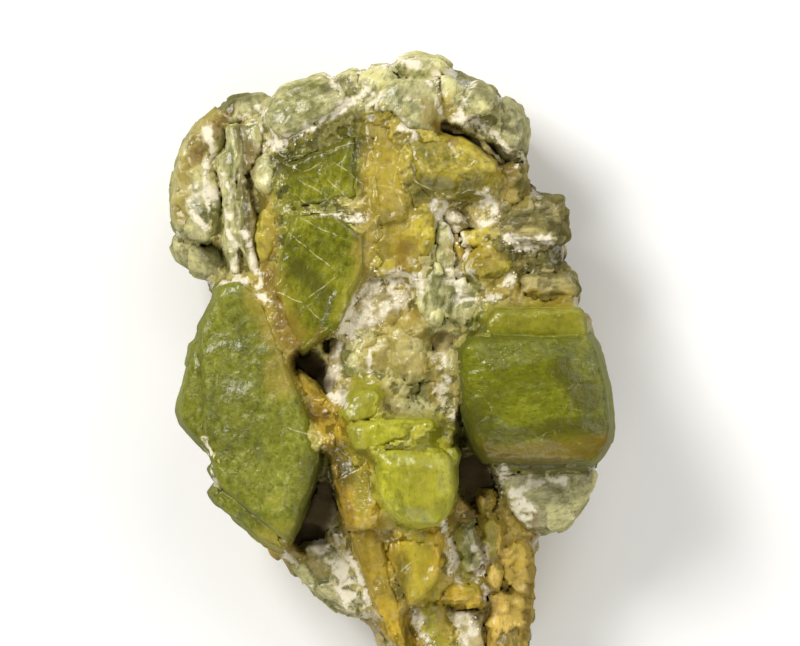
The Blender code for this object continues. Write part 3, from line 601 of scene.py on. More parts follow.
BIG_CRYSTALS = [
    Look("front_crystal", "bright", "peridot_bright", 92, wave=0.2, rib=0.11, rib_width=1.2),
    Look("barrel_crystal", "deep_green", "peridot_green", 2, wave=0.12, bands=5, rib=0.03,
         fibre=0.5),
    Look("left_tablet", "green", "peridot_green", 99, wave=0.14, step=0.12, bands=4, fibre=0.25),
    Look("upper_tablet", "olive", "peridot_green", 75, step=0.10, bands=4, rib=0.05,
         rib_width=0.5, fibre=0.7),
]
GOLD_CRYSTALS = [
    Look("golden_block", "gold", "peridot_golden", 168, wave=0.25, step=0.1, grain=0.32,
         grain_size=2.6, fibre=0.3),
    Look("amber_blade", "amber", "peridot_golden", 100, wave=0.25, step=0.12, rib=0.05,
         rib_width=0.8, grain=0.48, grain_size=2.4),
    Look("golden_column", "gold", "peridot_golden", 85, wave=0.22, rib=0.04, grain=0.48,
         grain_size=1.8, dust=0.15),
    Look("golden_wedge", "gold", "peridot_golden", 80, grain=0.48, dust=0.15),
    Look("golden_bud", "gold", "peridot_golden", 20, grain=0.48, dust=0.4),
    Look("amber_chip", "amber", "peridot_golden", 120, grain=0.48),
    Look("amber_knob", "amber", "peridot_golden", 10, grain=0.48),
]
PALE_CRYSTALS = [
    Look("pale_tablet", "pale", "peridot_pale", 25, wave=0.25, step=0.14, chip=0.1,
         grain=0.24, grain_size=2.4, dust=0.4),
    Look("pale_cluster", "pale", "peridot_pale", 60, wave=0.25, step=0.16, chip=0.1, grain=0.4,
         grain_size=2.6, dust=0.5),
    Look("round_pale_crystal", "pale", "peridot_pale", 60, step=0.12, chip=0.1, grain=0.4,
         grain_size=2.4, dust=0.25),
    Look("oval_crystal", "pale", "peridot_pale", 85, chip=0.1, grain=0.32, dust=0.15),
    Look("centre_crystal", "pale", "peridot_pale", 80, wave=0.2, rib=0.05, grain=0.64,
         grain_size=1.8, dust=0.25),
    Look("olive_columns", "pale", "peridot_pale", 88, wave=0.2, rib=0.06, grain=0.64, dust=0.35,
         fibre=0.8),
    Look("long_columns", "pale", "peridot_pale", 95, rib=0.22, rib_width=0.55, grain=0.32,
         dust=0.4, fibre=0.88),
]
RIM_CRYSTALS = [
    Look("frosted_crystal", "grey", "peridot_frosted", 12, wave=0.2, step=0.12, grain=0.48,
         grain_size=2.0, dust=0.35),
    Look("lower_wedge", "grey", "peridot_frosted", 140, wave=0.2, grain=0.64, grain_size=1.8,
         dust=0.5),
    Look("rim_crystals", "grey", "peridot_frosted", 100, wave=0.25, grain=0.48, grain_size=2.0,
         dust=0.25),
    Look("grey_end_crystal", "grey", "peridot_frosted", 60, grain=0.4, dust=0.3),
    Look("corner_crystal", "grey", "peridot_green", 150, grain=0.4, grain_size=2.0, dust=0.15),
]
BROWN_CRYSTALS = [
    Look("ledge_stack", "ledge", "peridot_brown", 2, wave=0.25, step=0.14, bands=5, rib=0.16,
         rib_width=0.5, pit=0.12, chip=0.4, grain=0.64, grain_size=1.4, dust=0.3, fibre=0.85),
    Look("brown_columns", "brown", "peridot_brown", 95, wave=0.3, step=0.12, rib=0.08,
         pit=0.12, chip=0.4, grain=0.8, grain_size=1.5, dust=0.15),
    Look("brown_prism", "grey", "peridot_brown", 100, wave=0.25, rib=0.08, pit=0.12, chip=0.4,
         grain=0.64, grain_size=1.3, dust=0.15, fibre=0.8),
]
ALL_LOOKS = (BIG_CRYSTALS, GOLD_CRYSTALS, PALE_CRYSTALS, RIM_CRYSTALS, BROWN_CRYSTALS)


# Relief of the crystals, in millimetres: how far across its patterns are, and how high the
# finest of them is.
WAVE_SIZE = 4.2
STEP_SIZE = 4.6
PIT_SIZE = 0.9
CHIP_SIZE = 1.3
ROUGH_SIZE = 0.8
ROUGH_HEIGHT = 0.04
# How long growth steps are drawn along the axis: 0 not at all, 1 endless.
STEP_DRAWN = 0.72
# How many times narrower the fine striations are than the broad ones.
RIB_STEP = 2.7
# How much of its own height each small flat face stands up, and how much it tilts.
FACE_RISE = 0.35
FACE_TILT = 1.5


def step_relief(place, look):
    """Growth steps: flat terraces with sharp fronts, long along the crystal's axis."""
    along = heading(look.axis)
    stretched = place - STEP_DRAWN * np.outer(place @ along, along)
    level = look.bands * (0.5 + 0.5 * cloud(stretched, STEP_SIZE, 3, look.seed + 5))
    whole = np.floor(level)
    return whole + ramp(level - whole, 0.42, 0.58)


def rib_relief(place, look):
    """Striations: fine ridges along the crystal's axis, that come and go."""
    across = heading(look.axis + 90) + (0, 0, 0.35)
    line = place @ across + 0.25 * noise(place, 3.0, look.seed + 7)
    total = np.zeros(len(line))
    finer = look.rib_width / RIB_STEP
    for width, strength in ((look.rib_width, 1.0), (finer, 0.5)):
        stripes = np.stack([line / width, 0.5 + 0 * line, 0.02 * place[:, 2]], axis=1)
        total += strength * noise(stripes, 1.0, look.seed + 8)
    return total


def shape_crystal(look, sizes):
    """The crystal's mesh: the solid's shape with all its relief and marks."""
    made = smooth_copy(look.node + "_etched", look.node, sizes.fine)
    skin = Skin(made.data)
    soft, edge = skin.outward()
    place = skin.place
    _, slope, value = mosaic(place, look.grain_size, look.seed + 20)
    rise = sizes.swell / MM + look.wave * cloud(place, WAVE_SIZE, 3, look.seed)
    rise += ROUGH_HEIGHT * cloud(place, ROUGH_SIZE, 2, look.seed + 1)
    steps = step_relief(place, look)
    rise += look.step * (steps - steps.mean())
    ribs = rib_relief(place, look)
    rise += look.rib * ribs
    rise += look.grain * (FACE_RISE * (value - 0.5) + FACE_TILT * slope)
    bite, _, share = mosaic(place, PIT_SIZE, look.seed + 21)
    rise -= look.pit * (share < 0.5) * (1 - ramp(bite, 0.1, 0.5))
    rise -= look.chip * edge * ramp(cloud(place, CHIP_SIZE, 3, look.seed + 2), -0.1, 0.6)
    skin.push(rise, soft)
    # Chalk lies thicker on edges: partly chalk left on rubbed edges, partly a painted highlight
    # that makes edges lighter.
    rub_and_glint = ramp(edge + 0.9 * cloud(place, ROUGH_SIZE, 3, look.seed + 3), 0.7, 1.3)
    strength = min(1.0, 1.5 * look.grain)
    patch = 0.5 + strength * (value - 0.5) + 2.4 * look.rib * ribs
    # How much each point faces sideways or down: the materials paint these sides darker, as painted
    # shade, and let less light through them.
    skin.store("side", ramp(-soft[:, 2], -0.85, -0.35))
    skin.mark(look.axis, look.fibre, patch, look.dust * (0.35 + 1.5 * rub_and_glint))
    made.data.shade_smooth()
    return made


# Materials


def add(tree, kind, settings=None, out=0, **inputs):
    """Adds a shader node with its settings, values and links, and returns one of its outputs."""
    node = tree.nodes.new("ShaderNode" + kind)
    for name, value in (settings or {}).items():
        setattr(node, name, value)
    for name, value in inputs.items():
        socket = node.inputs[int(name[1:]) if name[0] == "_" else name.replace("_", " ")]
        if isinstance(value, bpy.types.NodeSocket):
            tree.links.new(value, socket)
        else:
            socket.default_value = value
    return node.outputs[out] if node.outputs else node


# Settings that many nodes share.
MIX = {"data_type": "RGBA"}
TIMES = {"operation": "MULTIPLY"}
TIMES_PLUS = {"operation": "MULTIPLY_ADD"}
PLUS = {"operation": "ADD"}
MOST = {"operation": "MAXIMUM"}
MINUS = {"operation": "SUBTRACT", "use_clamp": True}

OLIVINE_IOR = 1.67
CHALK_IOR = 1.5

# How far across the patterns of the materials are, in millimetres. Real flecks and breaks are
# mostly under 0.1 mm, and are drawn coarser so that they show.
CLOUD_SIZE = 6.0
NET_SIZE = 3.0
HAZE_SIZE = 2.6
NET_PATCH = 2.5
NET_BEND = 2.0
FLECK_SIZE = 0.6
CRUMB_SIZE = 0.45
DIMPLE_SIZE = 0.35
BREAK_SIZE = 0.25
GRIT_SIZE = 0.12
CHALK_PATCH = 3.0
CHALK_CRUMB = 0.5
CHALK_RUST = 1.6
CHALK_GRIT = 0.15
# The middle of the sum of clouds, flecks, fibres and grains.
MIDDLE_TONE = 1.1


def blank(name):
    """An empty material's tree, and the texture place in millimetres."""
    material = bpy.data.materials.new(name)
    material.use_nodes = True
    tree = material.node_tree
    tree.nodes.clear()
    place = add(tree, "TexCoord", out="Object")
    return material, tree, add(tree, "VectorMath", {"operation": "SCALE"}, Vector=place,
                               Scale=1.0 / MM)


@dataclass
class Stone:
    """One kind of olivine: its common name after how its surface came to be, and its values.

    clear and cloudy are its transmission at either end, gloss its roughness where smoothest and
    density its absorption a metre. The field after density is how much darker its sides are
    painted, as painted shade on faces turned sideways or down. spread is how softly its tones
    change, and packed how much its small grains differ in tone; above 1 it takes up the colours
    of what is beside it.
    """

    name: str
    clear: float
    cloudy: float
    gloss: float
    density: float
    side_shade: float
    spread: float
    packed: float = 1.0


def olivine(stone, colour, colours):
    """Olivine, a brittle see-through silicate, etched and partly filmed over.

    It is glassy where it is clear, milky where tiny cracks fill it, and chalky where powder
    clings to it.
    """
    material, tree, place = blank(stone.name)
    read = {name: add(tree, "Attribute", {"attribute_name": name}, "Fac")
            for name in ("patch", "side", "crack", "chalk", *FADES)}
    base = np.array(colour)
    deep = (*(base * (0.42, 0.45, 0.25)), 1.0)
    light = (*(base * 1.35 + (0.05, 0.05, 0.01)), 1.0)
    # Painted highlight: the pale colour of the glints on tiny breaks.
    painted_glint = (*(base * 1.2 + (0.22, 0.22, 0.10)), 1.0)
    seen_through = (*(base / base.max() * 0.9), 1.0)

    # Tone: clouds, flecks, fibres, and a tone of its own for each grain.
    body = add(tree, "TexNoise", Vector=place, Scale=1 / CLOUD_SIZE, Detail=5.0, Roughness=0.6,
               Distortion=0.6)
    fleck = add(tree, "TexNoise", Vector=place, Scale=1 / FLECK_SIZE, Detail=4.0, Roughness=0.65)
    drawn = add(tree, "Attribute", {"attribute_name": "fibre"}, "Vector")
    fibre = add(tree, "TexNoise", Vector=drawn, Scale=1 / FLECK_SIZE, Detail=4.0, Roughness=0.6)
    tone = add(tree, "Math", TIMES_PLUS, _0=fleck, _1=0.6, _2=body)
    tone = add(tree, "Math", TIMES_PLUS, _0=fibre, _1=0.6, _2=tone)
    patch = add(tree, "MapRange", Value=read["patch"], To_Min=-0.25 * stone.packed,
                To_Max=0.25 * stone.packed)
    tone = add(tree, "Math", PLUS, _0=patch, _1=tone)
    low = add(tree, "MapRange", Value=tone, From_Min=MIDDLE_TONE - stone.spread,
              From_Max=MIDDLE_TONE)
    high = add(tree, "MapRange", Value=tone, From_Min=MIDDLE_TONE,
               From_Max=MIDDLE_TONE + stone.spread)
    shown = add(tree, "Mix", MIX, 2, _0=low, _6=deep, _7=(*base, 1.0))
    shown = add(tree, "Mix", MIX, 2, _0=high, _6=shown, _7=light)
    if stone.packed > 1:
        near = add(tree, "Attribute", {"attribute_name": "beside"}, "Color")
        dark = add(tree, "Mix", {**MIX, "blend_type": "MULTIPLY"}, 2, _0=1.0, _6=near,
                   _7=(0.45, 0.45, 0.3, 1.0))
        near = add(tree, "Mix", MIX, 2, _0=low, _6=dark, _7=near)
        own = add(tree, "Attribute", {"attribute_name": "own"}, "Fac")
        shown = add(tree, "Mix", MIX, 2, _0=own, _6=near, _7=shown)

    # Tiny breaks: some are dark, and some get painted highlights, pale glints painted where they
    # would catch the light.
    speck = add(tree, "TexNoise", Vector=drawn, Scale=1 / BREAK_SIZE, Detail=2.0, Roughness=0.6)
    dark = add(tree, "MapRange", Value=speck, From_Min=0.42, From_Max=0.34, To_Max=0.6)
    shown = add(tree, "Mix", MIX, 2, _0=dark, _6=shown, _7=deep)
    bright = add(tree, "MapRange", Value=speck, From_Min=0.58, From_Max=0.66, To_Max=0.75)
    bright = add(tree, "Math", TIMES, _0=bright, _1=high)
    shown = add(tree, "Mix", MIX, 2, _0=bright, _6=shown, _7=painted_glint)

    # Films, painted glow and painted shade, each broken up by the flecks.
    broken = add(tree, "MapRange", Value=fleck, From_Min=0.3, From_Max=0.6, To_Min=0.5)
    for mark, strength in (("gild", 0.75), ("stain", 0.7), ("glow", 0.7), ("shade", 0.75)):
        there = add(tree, "Math", TIMES, _0=read[mark], _1=broken)
        there = add(tree, "Math", TIMES, _0=there, _1=strength)
        shown = add(tree, "Mix", MIX, 2, _0=there, _6=shown, _7=(*getattr(colours, mark), 1.0))
    # Painted shade: sides that face sideways or down are painted darker.
    painted_side_shade = add(tree, "Math", TIMES, _0=read["side"], _1=stone.side_shade)
    shown = add(tree, "Mix", MIX, 2, _0=painted_side_shade, _6=shown, _7=deep)

    # Cracks grown shut: the long ones 0.1 mm wide, and a finer net in some places.
    crack = add(tree, "Math", {"operation": "ABSOLUTE"}, _0=read["crack"])
    crack = add(tree, "MapRange", Value=crack, From_Min=0.02, From_Max=0.08, To_Min=0.9,
                To_Max=0.0)
    bend = add(tree, "TexNoise", None, "Color", Vector=place, Scale=1 / NET_BEND, Detail=3.0)
    bent = add(tree, "VectorMath", TIMES_PLUS, _0=bend, _1=(3.0, 3.0, 3.0),
               _2=place)
    net = add(tree, "TexVoronoi", {"feature": "DISTANCE_TO_EDGE"}, "Distance", Vector=bent,
              Scale=1 / NET_SIZE)
    net = add(tree, "MapRange", Value=net, From_Min=0.0, From_Max=0.02, To_Min=0.5, To_Max=0.0)
    where_net = add(tree, "TexNoise", Vector=place, Scale=1 / NET_PATCH, Detail=2.0)
    where_net = add(tree, "MapRange", Value=where_net, From_Min=0.5, From_Max=0.62)
    net = add(tree, "Math", TIMES, _0=net, _1=where_net)
    line = add(tree, "Math", MOST, _0=net, _1=crack)
    faded = add(tree, "MapRange", Value=fleck, From_Min=0.4, From_Max=0.62, To_Min=0.0,
                To_Max=0.85)
    line = add(tree, "Math", TIMES, _0=line, _1=faded)
    shown = add(tree, "Mix", MIX, 2, _0=line, _6=shown, _7=(*colours.healed, 1.0))

    # Chalk over it all, ivory where thick and tan where it thins out.
    crumb = add(tree, "TexNoise", Vector=place, Scale=1 / CRUMB_SIZE, Detail=3.0, Roughness=0.6)
    thick = add(tree, "Math", TIMES_PLUS, _0=read["chalk"], _1=0.6, _2=crumb)
    thick = add(tree, "MapRange", Value=thick, From_Min=0.6, From_Max=1.0)
    powder = add(tree, "Mix", MIX, 2, _0=thick, _6=(*colours.tan, 1.0),
                 _7=(*colours.chalk, 1.0))
    cover = add(tree, "Math", PLUS, _0=crumb, _1=read["chalk"])
    cover = add(tree, "Math", TIMES_PLUS, _0=fibre, _1=1.2, _2=cover)
    cover = add(tree, "MapRange", Value=cover, From_Min=1.35, From_Max=1.95, To_Max=0.95)
    shown = add(tree, "Mix", MIX, 2, _0=cover, _6=shown, _7=powder)

    # Light goes through only where neither chalk, a crack nor a side is.
    bare = 1.0
    for hidden in (cover, line, read["side"]):
        bare = add(tree, "Math", MINUS, _0=bare, _1=hidden)
    haze = add(tree, "TexNoise", Vector=place, Scale=1 / HAZE_SIZE, Detail=4.0, Distortion=0.5)
    haze = add(tree, "MapRange", Value=haze, From_Min=0.38, From_Max=0.62, To_Min=stone.cloudy,
               To_Max=stone.clear)
    haze = add(tree, "Math", TIMES, _0=haze, _1=bare)
    rough = add(tree, "MapRange", Value=fibre, From_Min=0.35, From_Max=0.7, To_Min=stone.gloss,
                To_Max=stone.gloss + 0.14)
    rough = add(tree, "Math", MOST, _0=rough, _1=cover)
    rough = add(tree, "Math", TIMES_PLUS, _0=read["side"], _1=0.5, _2=rough)

    # Finer than the mesh: dimples and grit.
    dimple = add(tree, "TexNoise", Vector=place, Scale=1 / DIMPLE_SIZE, Detail=3.0)
    bump = add(tree, "Bump", Strength=0.5, Distance=0.12 * MM, Height=dimple)
    grit = add(tree, "TexNoise", Vector=place, Scale=1 / GRIT_SIZE, Detail=2.0)
    bump = add(tree, "Bump", Strength=0.3, Distance=0.05 * MM, Height=grit, Normal=bump)

    shader = add(tree, "BsdfPrincipled", Base_Color=shown, Roughness=rough, IOR=OLIVINE_IOR,
                 Transmission_Weight=haze, Normal=bump, Specular_IOR_Level=0.22,
                 Subsurface_Weight=0.3, Subsurface_Radius=(1.0, 0.9, 0.3),
                 Subsurface_Scale=0.2 * MM)
    soak = add(tree, "VolumeAbsorption", Color=seen_through, Density=stone.density)
    add(tree, "OutputMaterial", Surface=shader, Volume=soak)
    return material


OLIVINES = {
    # Dissolved a little since it grew: satin, with soft light inside.
    "green": Stone("etched_green_olivine", 0.24, 0.10, 0.20, 260.0, 0.35, 0.28),
    "olive": Stone("etched_olive_olivine", 0.24, 0.10, 0.12, 240.0, 0.3, 0.24),
    # Natural faces: glassy, dark where deep and glowing where thin.
    "deep_green": Stone("glassy_deep_olivine", 0.22, 0.10, 0.10, 260.0, 0.5, 0.36),
    "bright": Stone("glassy_bright_olivine", 0.36, 0.20, 0.10, 200.0, 0.35, 0.28),
    "amber": Stone("glassy_amber_olivine", 0.24, 0.10, 0.10, 220.0, 0.3, 0.22),
    # Thin films of iron oxide: warm gold, blotchy.
    "gold": Stone("iron_stained_olivine", 0.28, 0.12, 0.12, 220.0, 0.25, 0.22),
    # Full of tiny cracks: pale, milky or frosted.
    "pale": Stone("milky_pale_olivine", 0.30, 0.10, 0.15, 160.0, 0.2, 0.20),
    "grey": Stone("frosted_grey_olivine", 0.28, 0.08, 0.18, 180.0, 0.35, 0.20),
    # Weathered: dull and brownish, nearly opaque.
    "brown": Stone("weathered_brown_olivine", 0.20, 0.04, 0.24, 220.0, 0.5, 0.20),
    "ledge": Stone("weathered_banded_olivine", 0.20, 0.04, 0.24, 220.0, 0.6, 0.18),
    # Grown together as small grains: each has its own tone, like coarse sugar.
    "mixed": Stone("sugary_olivine", 0.24, 0.06, 0.16, 200.0, 0.2, 0.20, 2.4),
}


def packed_chalk(colours):
    """Ground mass: serpentine and calcite powder, crumbly and matt, from white to rust brown."""
    material, tree, place = blank("packed_chalk")
    patch = add(tree, "TexNoise", Vector=place, Scale=1 / CHALK_PATCH, Detail=5.0, Roughness=0.6)
    crumb = add(tree, "TexNoise", Vector=place, Scale=1 / CHALK_CRUMB, Detail=4.0, Roughness=0.65)
    tone = add(tree, "Math", TIMES_PLUS, _0=crumb, _1=0.5, _2=patch)
    low = add(tree, "MapRange", Value=tone, From_Min=0.56, From_Max=0.74)
    high = add(tree, "MapRange", Value=tone, From_Min=0.74, From_Max=0.94)
    shown = add(tree, "Mix", MIX, 2, _0=low, _6=(*colours.earth_and_hollow_shade, 1.0), _7=(*colours.ledge, 1.0))
    shown = add(tree, "Mix", MIX, 2, _0=high, _6=shown, _7=(*colours.tan, 1.0))
    white = add(tree, "MapRange", Value=crumb, From_Min=0.3, From_Max=0.6)
    white = add(tree, "Mix", MIX, 2, _0=white, _6=(*colours.tan, 1.0), _7=(*colours.chalk, 1.0))
    chalk = add(tree, "Attribute", {"attribute_name": "chalk"}, "Fac")
    chalk = add(tree, "MapRange", Value=chalk, From_Min=0.1, From_Max=0.7)
    shown = add(tree, "Mix", MIX, 2, _0=chalk, _6=shown, _7=white)
    # Gilding tints the ground amber; the dark mark paints it dark brown in hollows and gaps, as
    # painted shade.
    for mark, colour in (("gild", colours.gild), ("shade", colours.earth_and_hollow_shade)):
        there = add(tree, "Attribute", {"attribute_name": mark}, "Fac")
        shown = add(tree, "Mix", MIX, 2, _0=there, _6=shown, _7=(*colour, 1.0))
    bump = add(tree, "Bump", Strength=0.8, Distance=0.2 * MM, Height=crumb)
    grit = add(tree, "TexNoise", Vector=place, Scale=1 / CHALK_GRIT, Detail=2.0)
    bump = add(tree, "Bump", Strength=0.6, Distance=0.08 * MM, Height=grit, Normal=bump)
    shader = add(tree, "BsdfPrincipled", Base_Color=shown, Roughness=0.92, IOR=CHALK_IOR,
                 Normal=bump)
    add(tree, "OutputMaterial", Surface=shader)
    return material


def loose_chalk(colours):
    """Loose grains of the same powder: white with a little rust, quite matt."""
    material, tree, place = blank("loose_chalk")
    patch = add(tree, "TexNoise", Vector=place, Scale=1 / CHALK_RUST, Detail=4.0, Roughness=0.6)
    patch = add(tree, "MapRange", Value=patch, From_Min=0.3, From_Max=0.5)
    shown = add(tree, "Mix", MIX, 2, _0=patch, _6=(*colours.tan, 1.0), _7=(*colours.chalk, 1.0))
    grit = add(tree, "TexNoise", Vector=place, Scale=1 / CHALK_GRIT, Detail=2.0)
    bump = add(tree, "Bump", Strength=0.5, Distance=0.08 * MM, Height=grit)
    shader = add(tree, "BsdfPrincipled", Base_Color=shown, Roughness=0.9, IOR=CHALK_IOR,
                 Normal=bump)
    add(tree, "OutputMaterial", Surface=shader)
    return material


made_finishes = {}


def finish(name):
    """The material of that finish, made once."""
    if name not in made_finishes:
        colours = bpy.context.scene.peridot_colours
        if name in OLIVINES:
            made = olivine(OLIVINES[name], getattr(colours, name), colours)
        elif name == "ground":
            made = packed_chalk(colours)
        else:
            made = loose_chalk(colours)
        made_finishes[name] = made
    return made_finishes[name]


def settle(piece, nodes, material):
    """Gives a piece its finish and its place in the frame."""
    piece.data.materials.clear()
    piece.data.materials.append(material)
    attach(piece, "root")
    if nodes:
        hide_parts(*nodes)


def build_crystals(context, looks):
    """Shapes and finishes a group of like crystals."""
    for look in looks:
        made = shape_crystal(look, context.scene.peridot_sizes)
        settle(made, [look.node], finish(look.finish))


# Ground mass, seams and grains, in millimetres

# How far across the lumps, crumbs and flat faces of the ground mass are, the heights between
# which it turns from its flat back to rough, and those between which chalk starts to lie on it,
# so that its low parts stay darker, partly as painted shade.
LUMP_SIZE = 3.4
CRUMBLE_SIZE = 1.2
GROUND_FACE = 1.6
ROUGH_FROM = (0.4, 2.0)
CHALK_AND_SHADE_FROM = (11.0, 15.0)
# Which way flecks run on the ground mass and the seams, in degrees, and how long they are.
GROUND_AXIS = 80.2
GROUND_FIBRE = 0.5
# How far from a border seams reach, how deep a gap is filled away from borders, how far across
# their grains are and how high, how deep hollows and low seams go, and how thick they are below.
SEAM_REACH = 1.0
GAP_DEPTH = 0.6
SEAM_GRAIN = 0.9
SEAM_RISE = 0.36
HOLLOW_DEPTH = 6.0
LOW_DEPTH = 1.2
SEAM_DEPTH = 0.9
# Grains keep their shape down a slope, because heights count half.
SQUAT = (1, 1, 0.5)
# How many rounds the colours of crystals spread through the seams.
SPREAD_ROUNDS = 14
# Half the sides of the grid that seams are worked out on, and of the area that grains fall on.
SEAM_AREA = (25.0, 35.0)
GRAIN_AREA = (22.0, 31.5)
# The smallest grain, and how much bigger the biggest is.
GRAIN_LEAST = 0.10
GRAIN_MORE = 0.28
EMPTY = -99.0
ABOVE_ALL = 50.0


def tree_of(objects):
    """A search tree over some meshes of quads, and each face's place in the list of objects."""
    points = []
    faces = []
    owner = []
    for number, thing in enumerate(objects):
        mesh = thing.data
        flat = np.empty(len(mesh.vertices) * 3)
        mesh.vertices.foreach_get("co", flat)
        corners = np.empty(len(mesh.loops), dtype=np.int32)
        mesh.loops.foreach_get("vertex_index", corners)
        faces.extend((corners.reshape(-1, 4) + len(points)).tolist())
        points.extend(flat.reshape(-1, 3).tolist())
        owner.extend([number] * len(mesh.polygons))
    return BVHTree.FromPolygons(points, faces), owner


def look_down(tree, x, y):
    """What lies under (x, y), counted as in the tables: point, normal, face and distance."""
    start = Vector(((x - CENTRE[0]) * MM, (y - CENTRE[1]) * MM, ABOVE_ALL * MM))
    return tree.ray_cast(start, Vector((0.0, 0.0, -1.0)))


def window(heights, radius, pick):
    """The highest or lowest height in a round window about each cell."""
    result = heights.copy()
    for i, j in itertools.product(range(-radius, radius + 1), repeat=2):
        if i * i + j * j <= radius * radius:
            result = pick(result, np.roll(heights, (i, j), (0, 1)))
    return result


def neighbours(grid):
    """The sum of the eight cells round each cell."""
    steps = [step for step in itertools.product((-1, 0, 1), repeat=2) if any(step)]
    return sum(np.roll(grid, step, (0, 1)) for step in steps)


def spread_out(grid, rounds):
    """Each cell averaged with the eight round it, some number of times."""
    for _ in range(rounds):
        grid = (grid + neighbours(grid)) / 9
    return grid


def survey(tree, owner, xs, ys):
    """The height of what lies under each cell of a grid, and which object it is."""
    heights = np.full((len(xs), len(ys)), EMPTY)
    stone = np.full(heights.shape, -1)
    for (i, x), (j, y) in itertools.product(enumerate(xs), enumerate(ys)):
        hit, _, face, _ = look_down(tree, x, y)
        if hit is not None:
            heights[i, j] = hit.z / MM
            stone[i, j] = owner[face]
    return heights, stone


def seam_colours(stone, held, looks, colours):
    """The colour of each cell of the seams: that of the crystals on its sides, and of MASSES."""
    shades = np.array([colours.tan, *(getattr(colours, look.finish) for look in looks)])
    solid = stone >= 0
    blend = spread_out(shades[stone] * solid[:, :, None], SPREAD_ROUNDS)
    weight = spread_out(solid.astype(float), SPREAD_ROUNDS)
    blend = blend / np.maximum(weight, 1e-6)[:, :, None]
    for (name, _, _), strength in zip(MASSES, held):
        there = 0.9 * strength.reshape(stone.shape)[:, :, None]
        blend = blend + there * (np.array(getattr(colours, name)) - blend)
    return blend


def slab(name, spots, tops, floors, used):
    """A closed mesh over the used cells of a grid, from their floors up to their tops."""
    number = np.full(used.shape, -1)
    number[used] = np.arange(used.sum())
    quad = used[:-1, :-1] & used[1:, :-1] & used[1:, 1:] & used[:-1, 1:]
    i, j = np.nonzero(quad)
    top = np.stack([number[i, j], number[i + 1, j], number[i + 1, j + 1], number[i, j + 1]], axis=1)
    count = used.sum()
    sides = set()
    for face in top.tolist():
        for a, b in zip(face, face[1:] + face[:1]):
            if (b, a) in sides:
                sides.remove((b, a))
            else:
                sides.add((a, b))
    walls = [(b, a, a + count, b + count) for a, b in sorted(sides)]
    under = (top + count)[:, ::-1]
    points = np.concatenate([
        np.column_stack([spots[used], tops[used]]), np.column_stack([spots[used], floors[used]])])
    mesh = bpy.data.meshes.new(name)
    mesh.from_pydata(points * MM, [], top.tolist() + under.tolist() + walls)
    loose = bmesh.new()
    loose.from_mesh(mesh)
    bmesh.ops.delete(loose, geom=[v for v in loose.verts if not v.link_faces], context="VERTS")
    loose.to_mesh(mesh)
    loose.free()
    made = bpy.data.objects.new(name, mesh)
    bpy.context.scene.collection.objects.link(made)
    return made


def unit_grain():
    """A small stone's points and triangles, one across."""
    ball = bmesh.new()
    bmesh.ops.create_icosphere(ball, subdivisions=1, radius=0.5)
    points = np.array([tuple(v.co) for v in ball.verts])
    faces = np.array([[v.index for v in f.verts] for f in ball.faces])
    ball.free()
    return points, faces


def joined(name, points, faces, places):
    """One mesh of many copies of a shape, each with its centre, size, turn and dents."""
    all_points = [(points * dents[:, None] * size) @ turn.T + centre
                  for centre, size, turn, dents in places]
    all_faces = [faces + i * len(points) for i in range(len(places))]
    mesh = bpy.data.meshes.new(name)
    mesh.from_pydata(np.concatenate(all_points) * MM, [], np.concatenate(all_faces).tolist())
    made = bpy.data.objects.new(name, mesh)
    bpy.context.scene.collection.objects.link(made)
    return made


class PERIDOT_OT_big_crystals(bpy.types.Operator):
    """Shape the front crystal, the barrel crystal and the two green tablets"""

    bl_idname = "peridot.big_crystals"
    bl_label = "Big green crystals"

    def execute(self, context):
        build_crystals(context, BIG_CRYSTALS)
        return {"FINISHED"}


class PERIDOT_OT_gold_crystals(bpy.types.Operator):
    """Shape the golden and amber crystals"""

    bl_idname = "peridot.gold_crystals"
    bl_label = "Golden crystals"

    def execute(self, context):
        build_crystals(context, GOLD_CRYSTALS)
        return {"FINISHED"}


class PERIDOT_OT_pale_crystals(bpy.types.Operator):
    """Shape the pale crystals along the top and in the middle"""

    bl_idname = "peridot.pale_crystals"
    bl_label = "Pale crystals"

    def execute(self, context):
        build_crystals(context, PALE_CRYSTALS)
        return {"FINISHED"}


class PERIDOT_OT_rim_crystals(bpy.types.Operator):
    """Shape the frosted crystals round the rim"""

    bl_idname = "peridot.rim_crystals"
    bl_label = "Frosted rim crystals"

    def execute(self, context):
        build_crystals(context, RIM_CRYSTALS)
        return {"FINISHED"}


class PERIDOT_OT_brown_crystals(bpy.types.Operator):
    """Shape the weathered brown crystals"""

    bl_idname = "peridot.brown_crystals"
    bl_label = "Weathered crystals"

    def execute(self, context):
        build_crystals(context, BROWN_CRYSTALS)
        return {"FINISHED"}


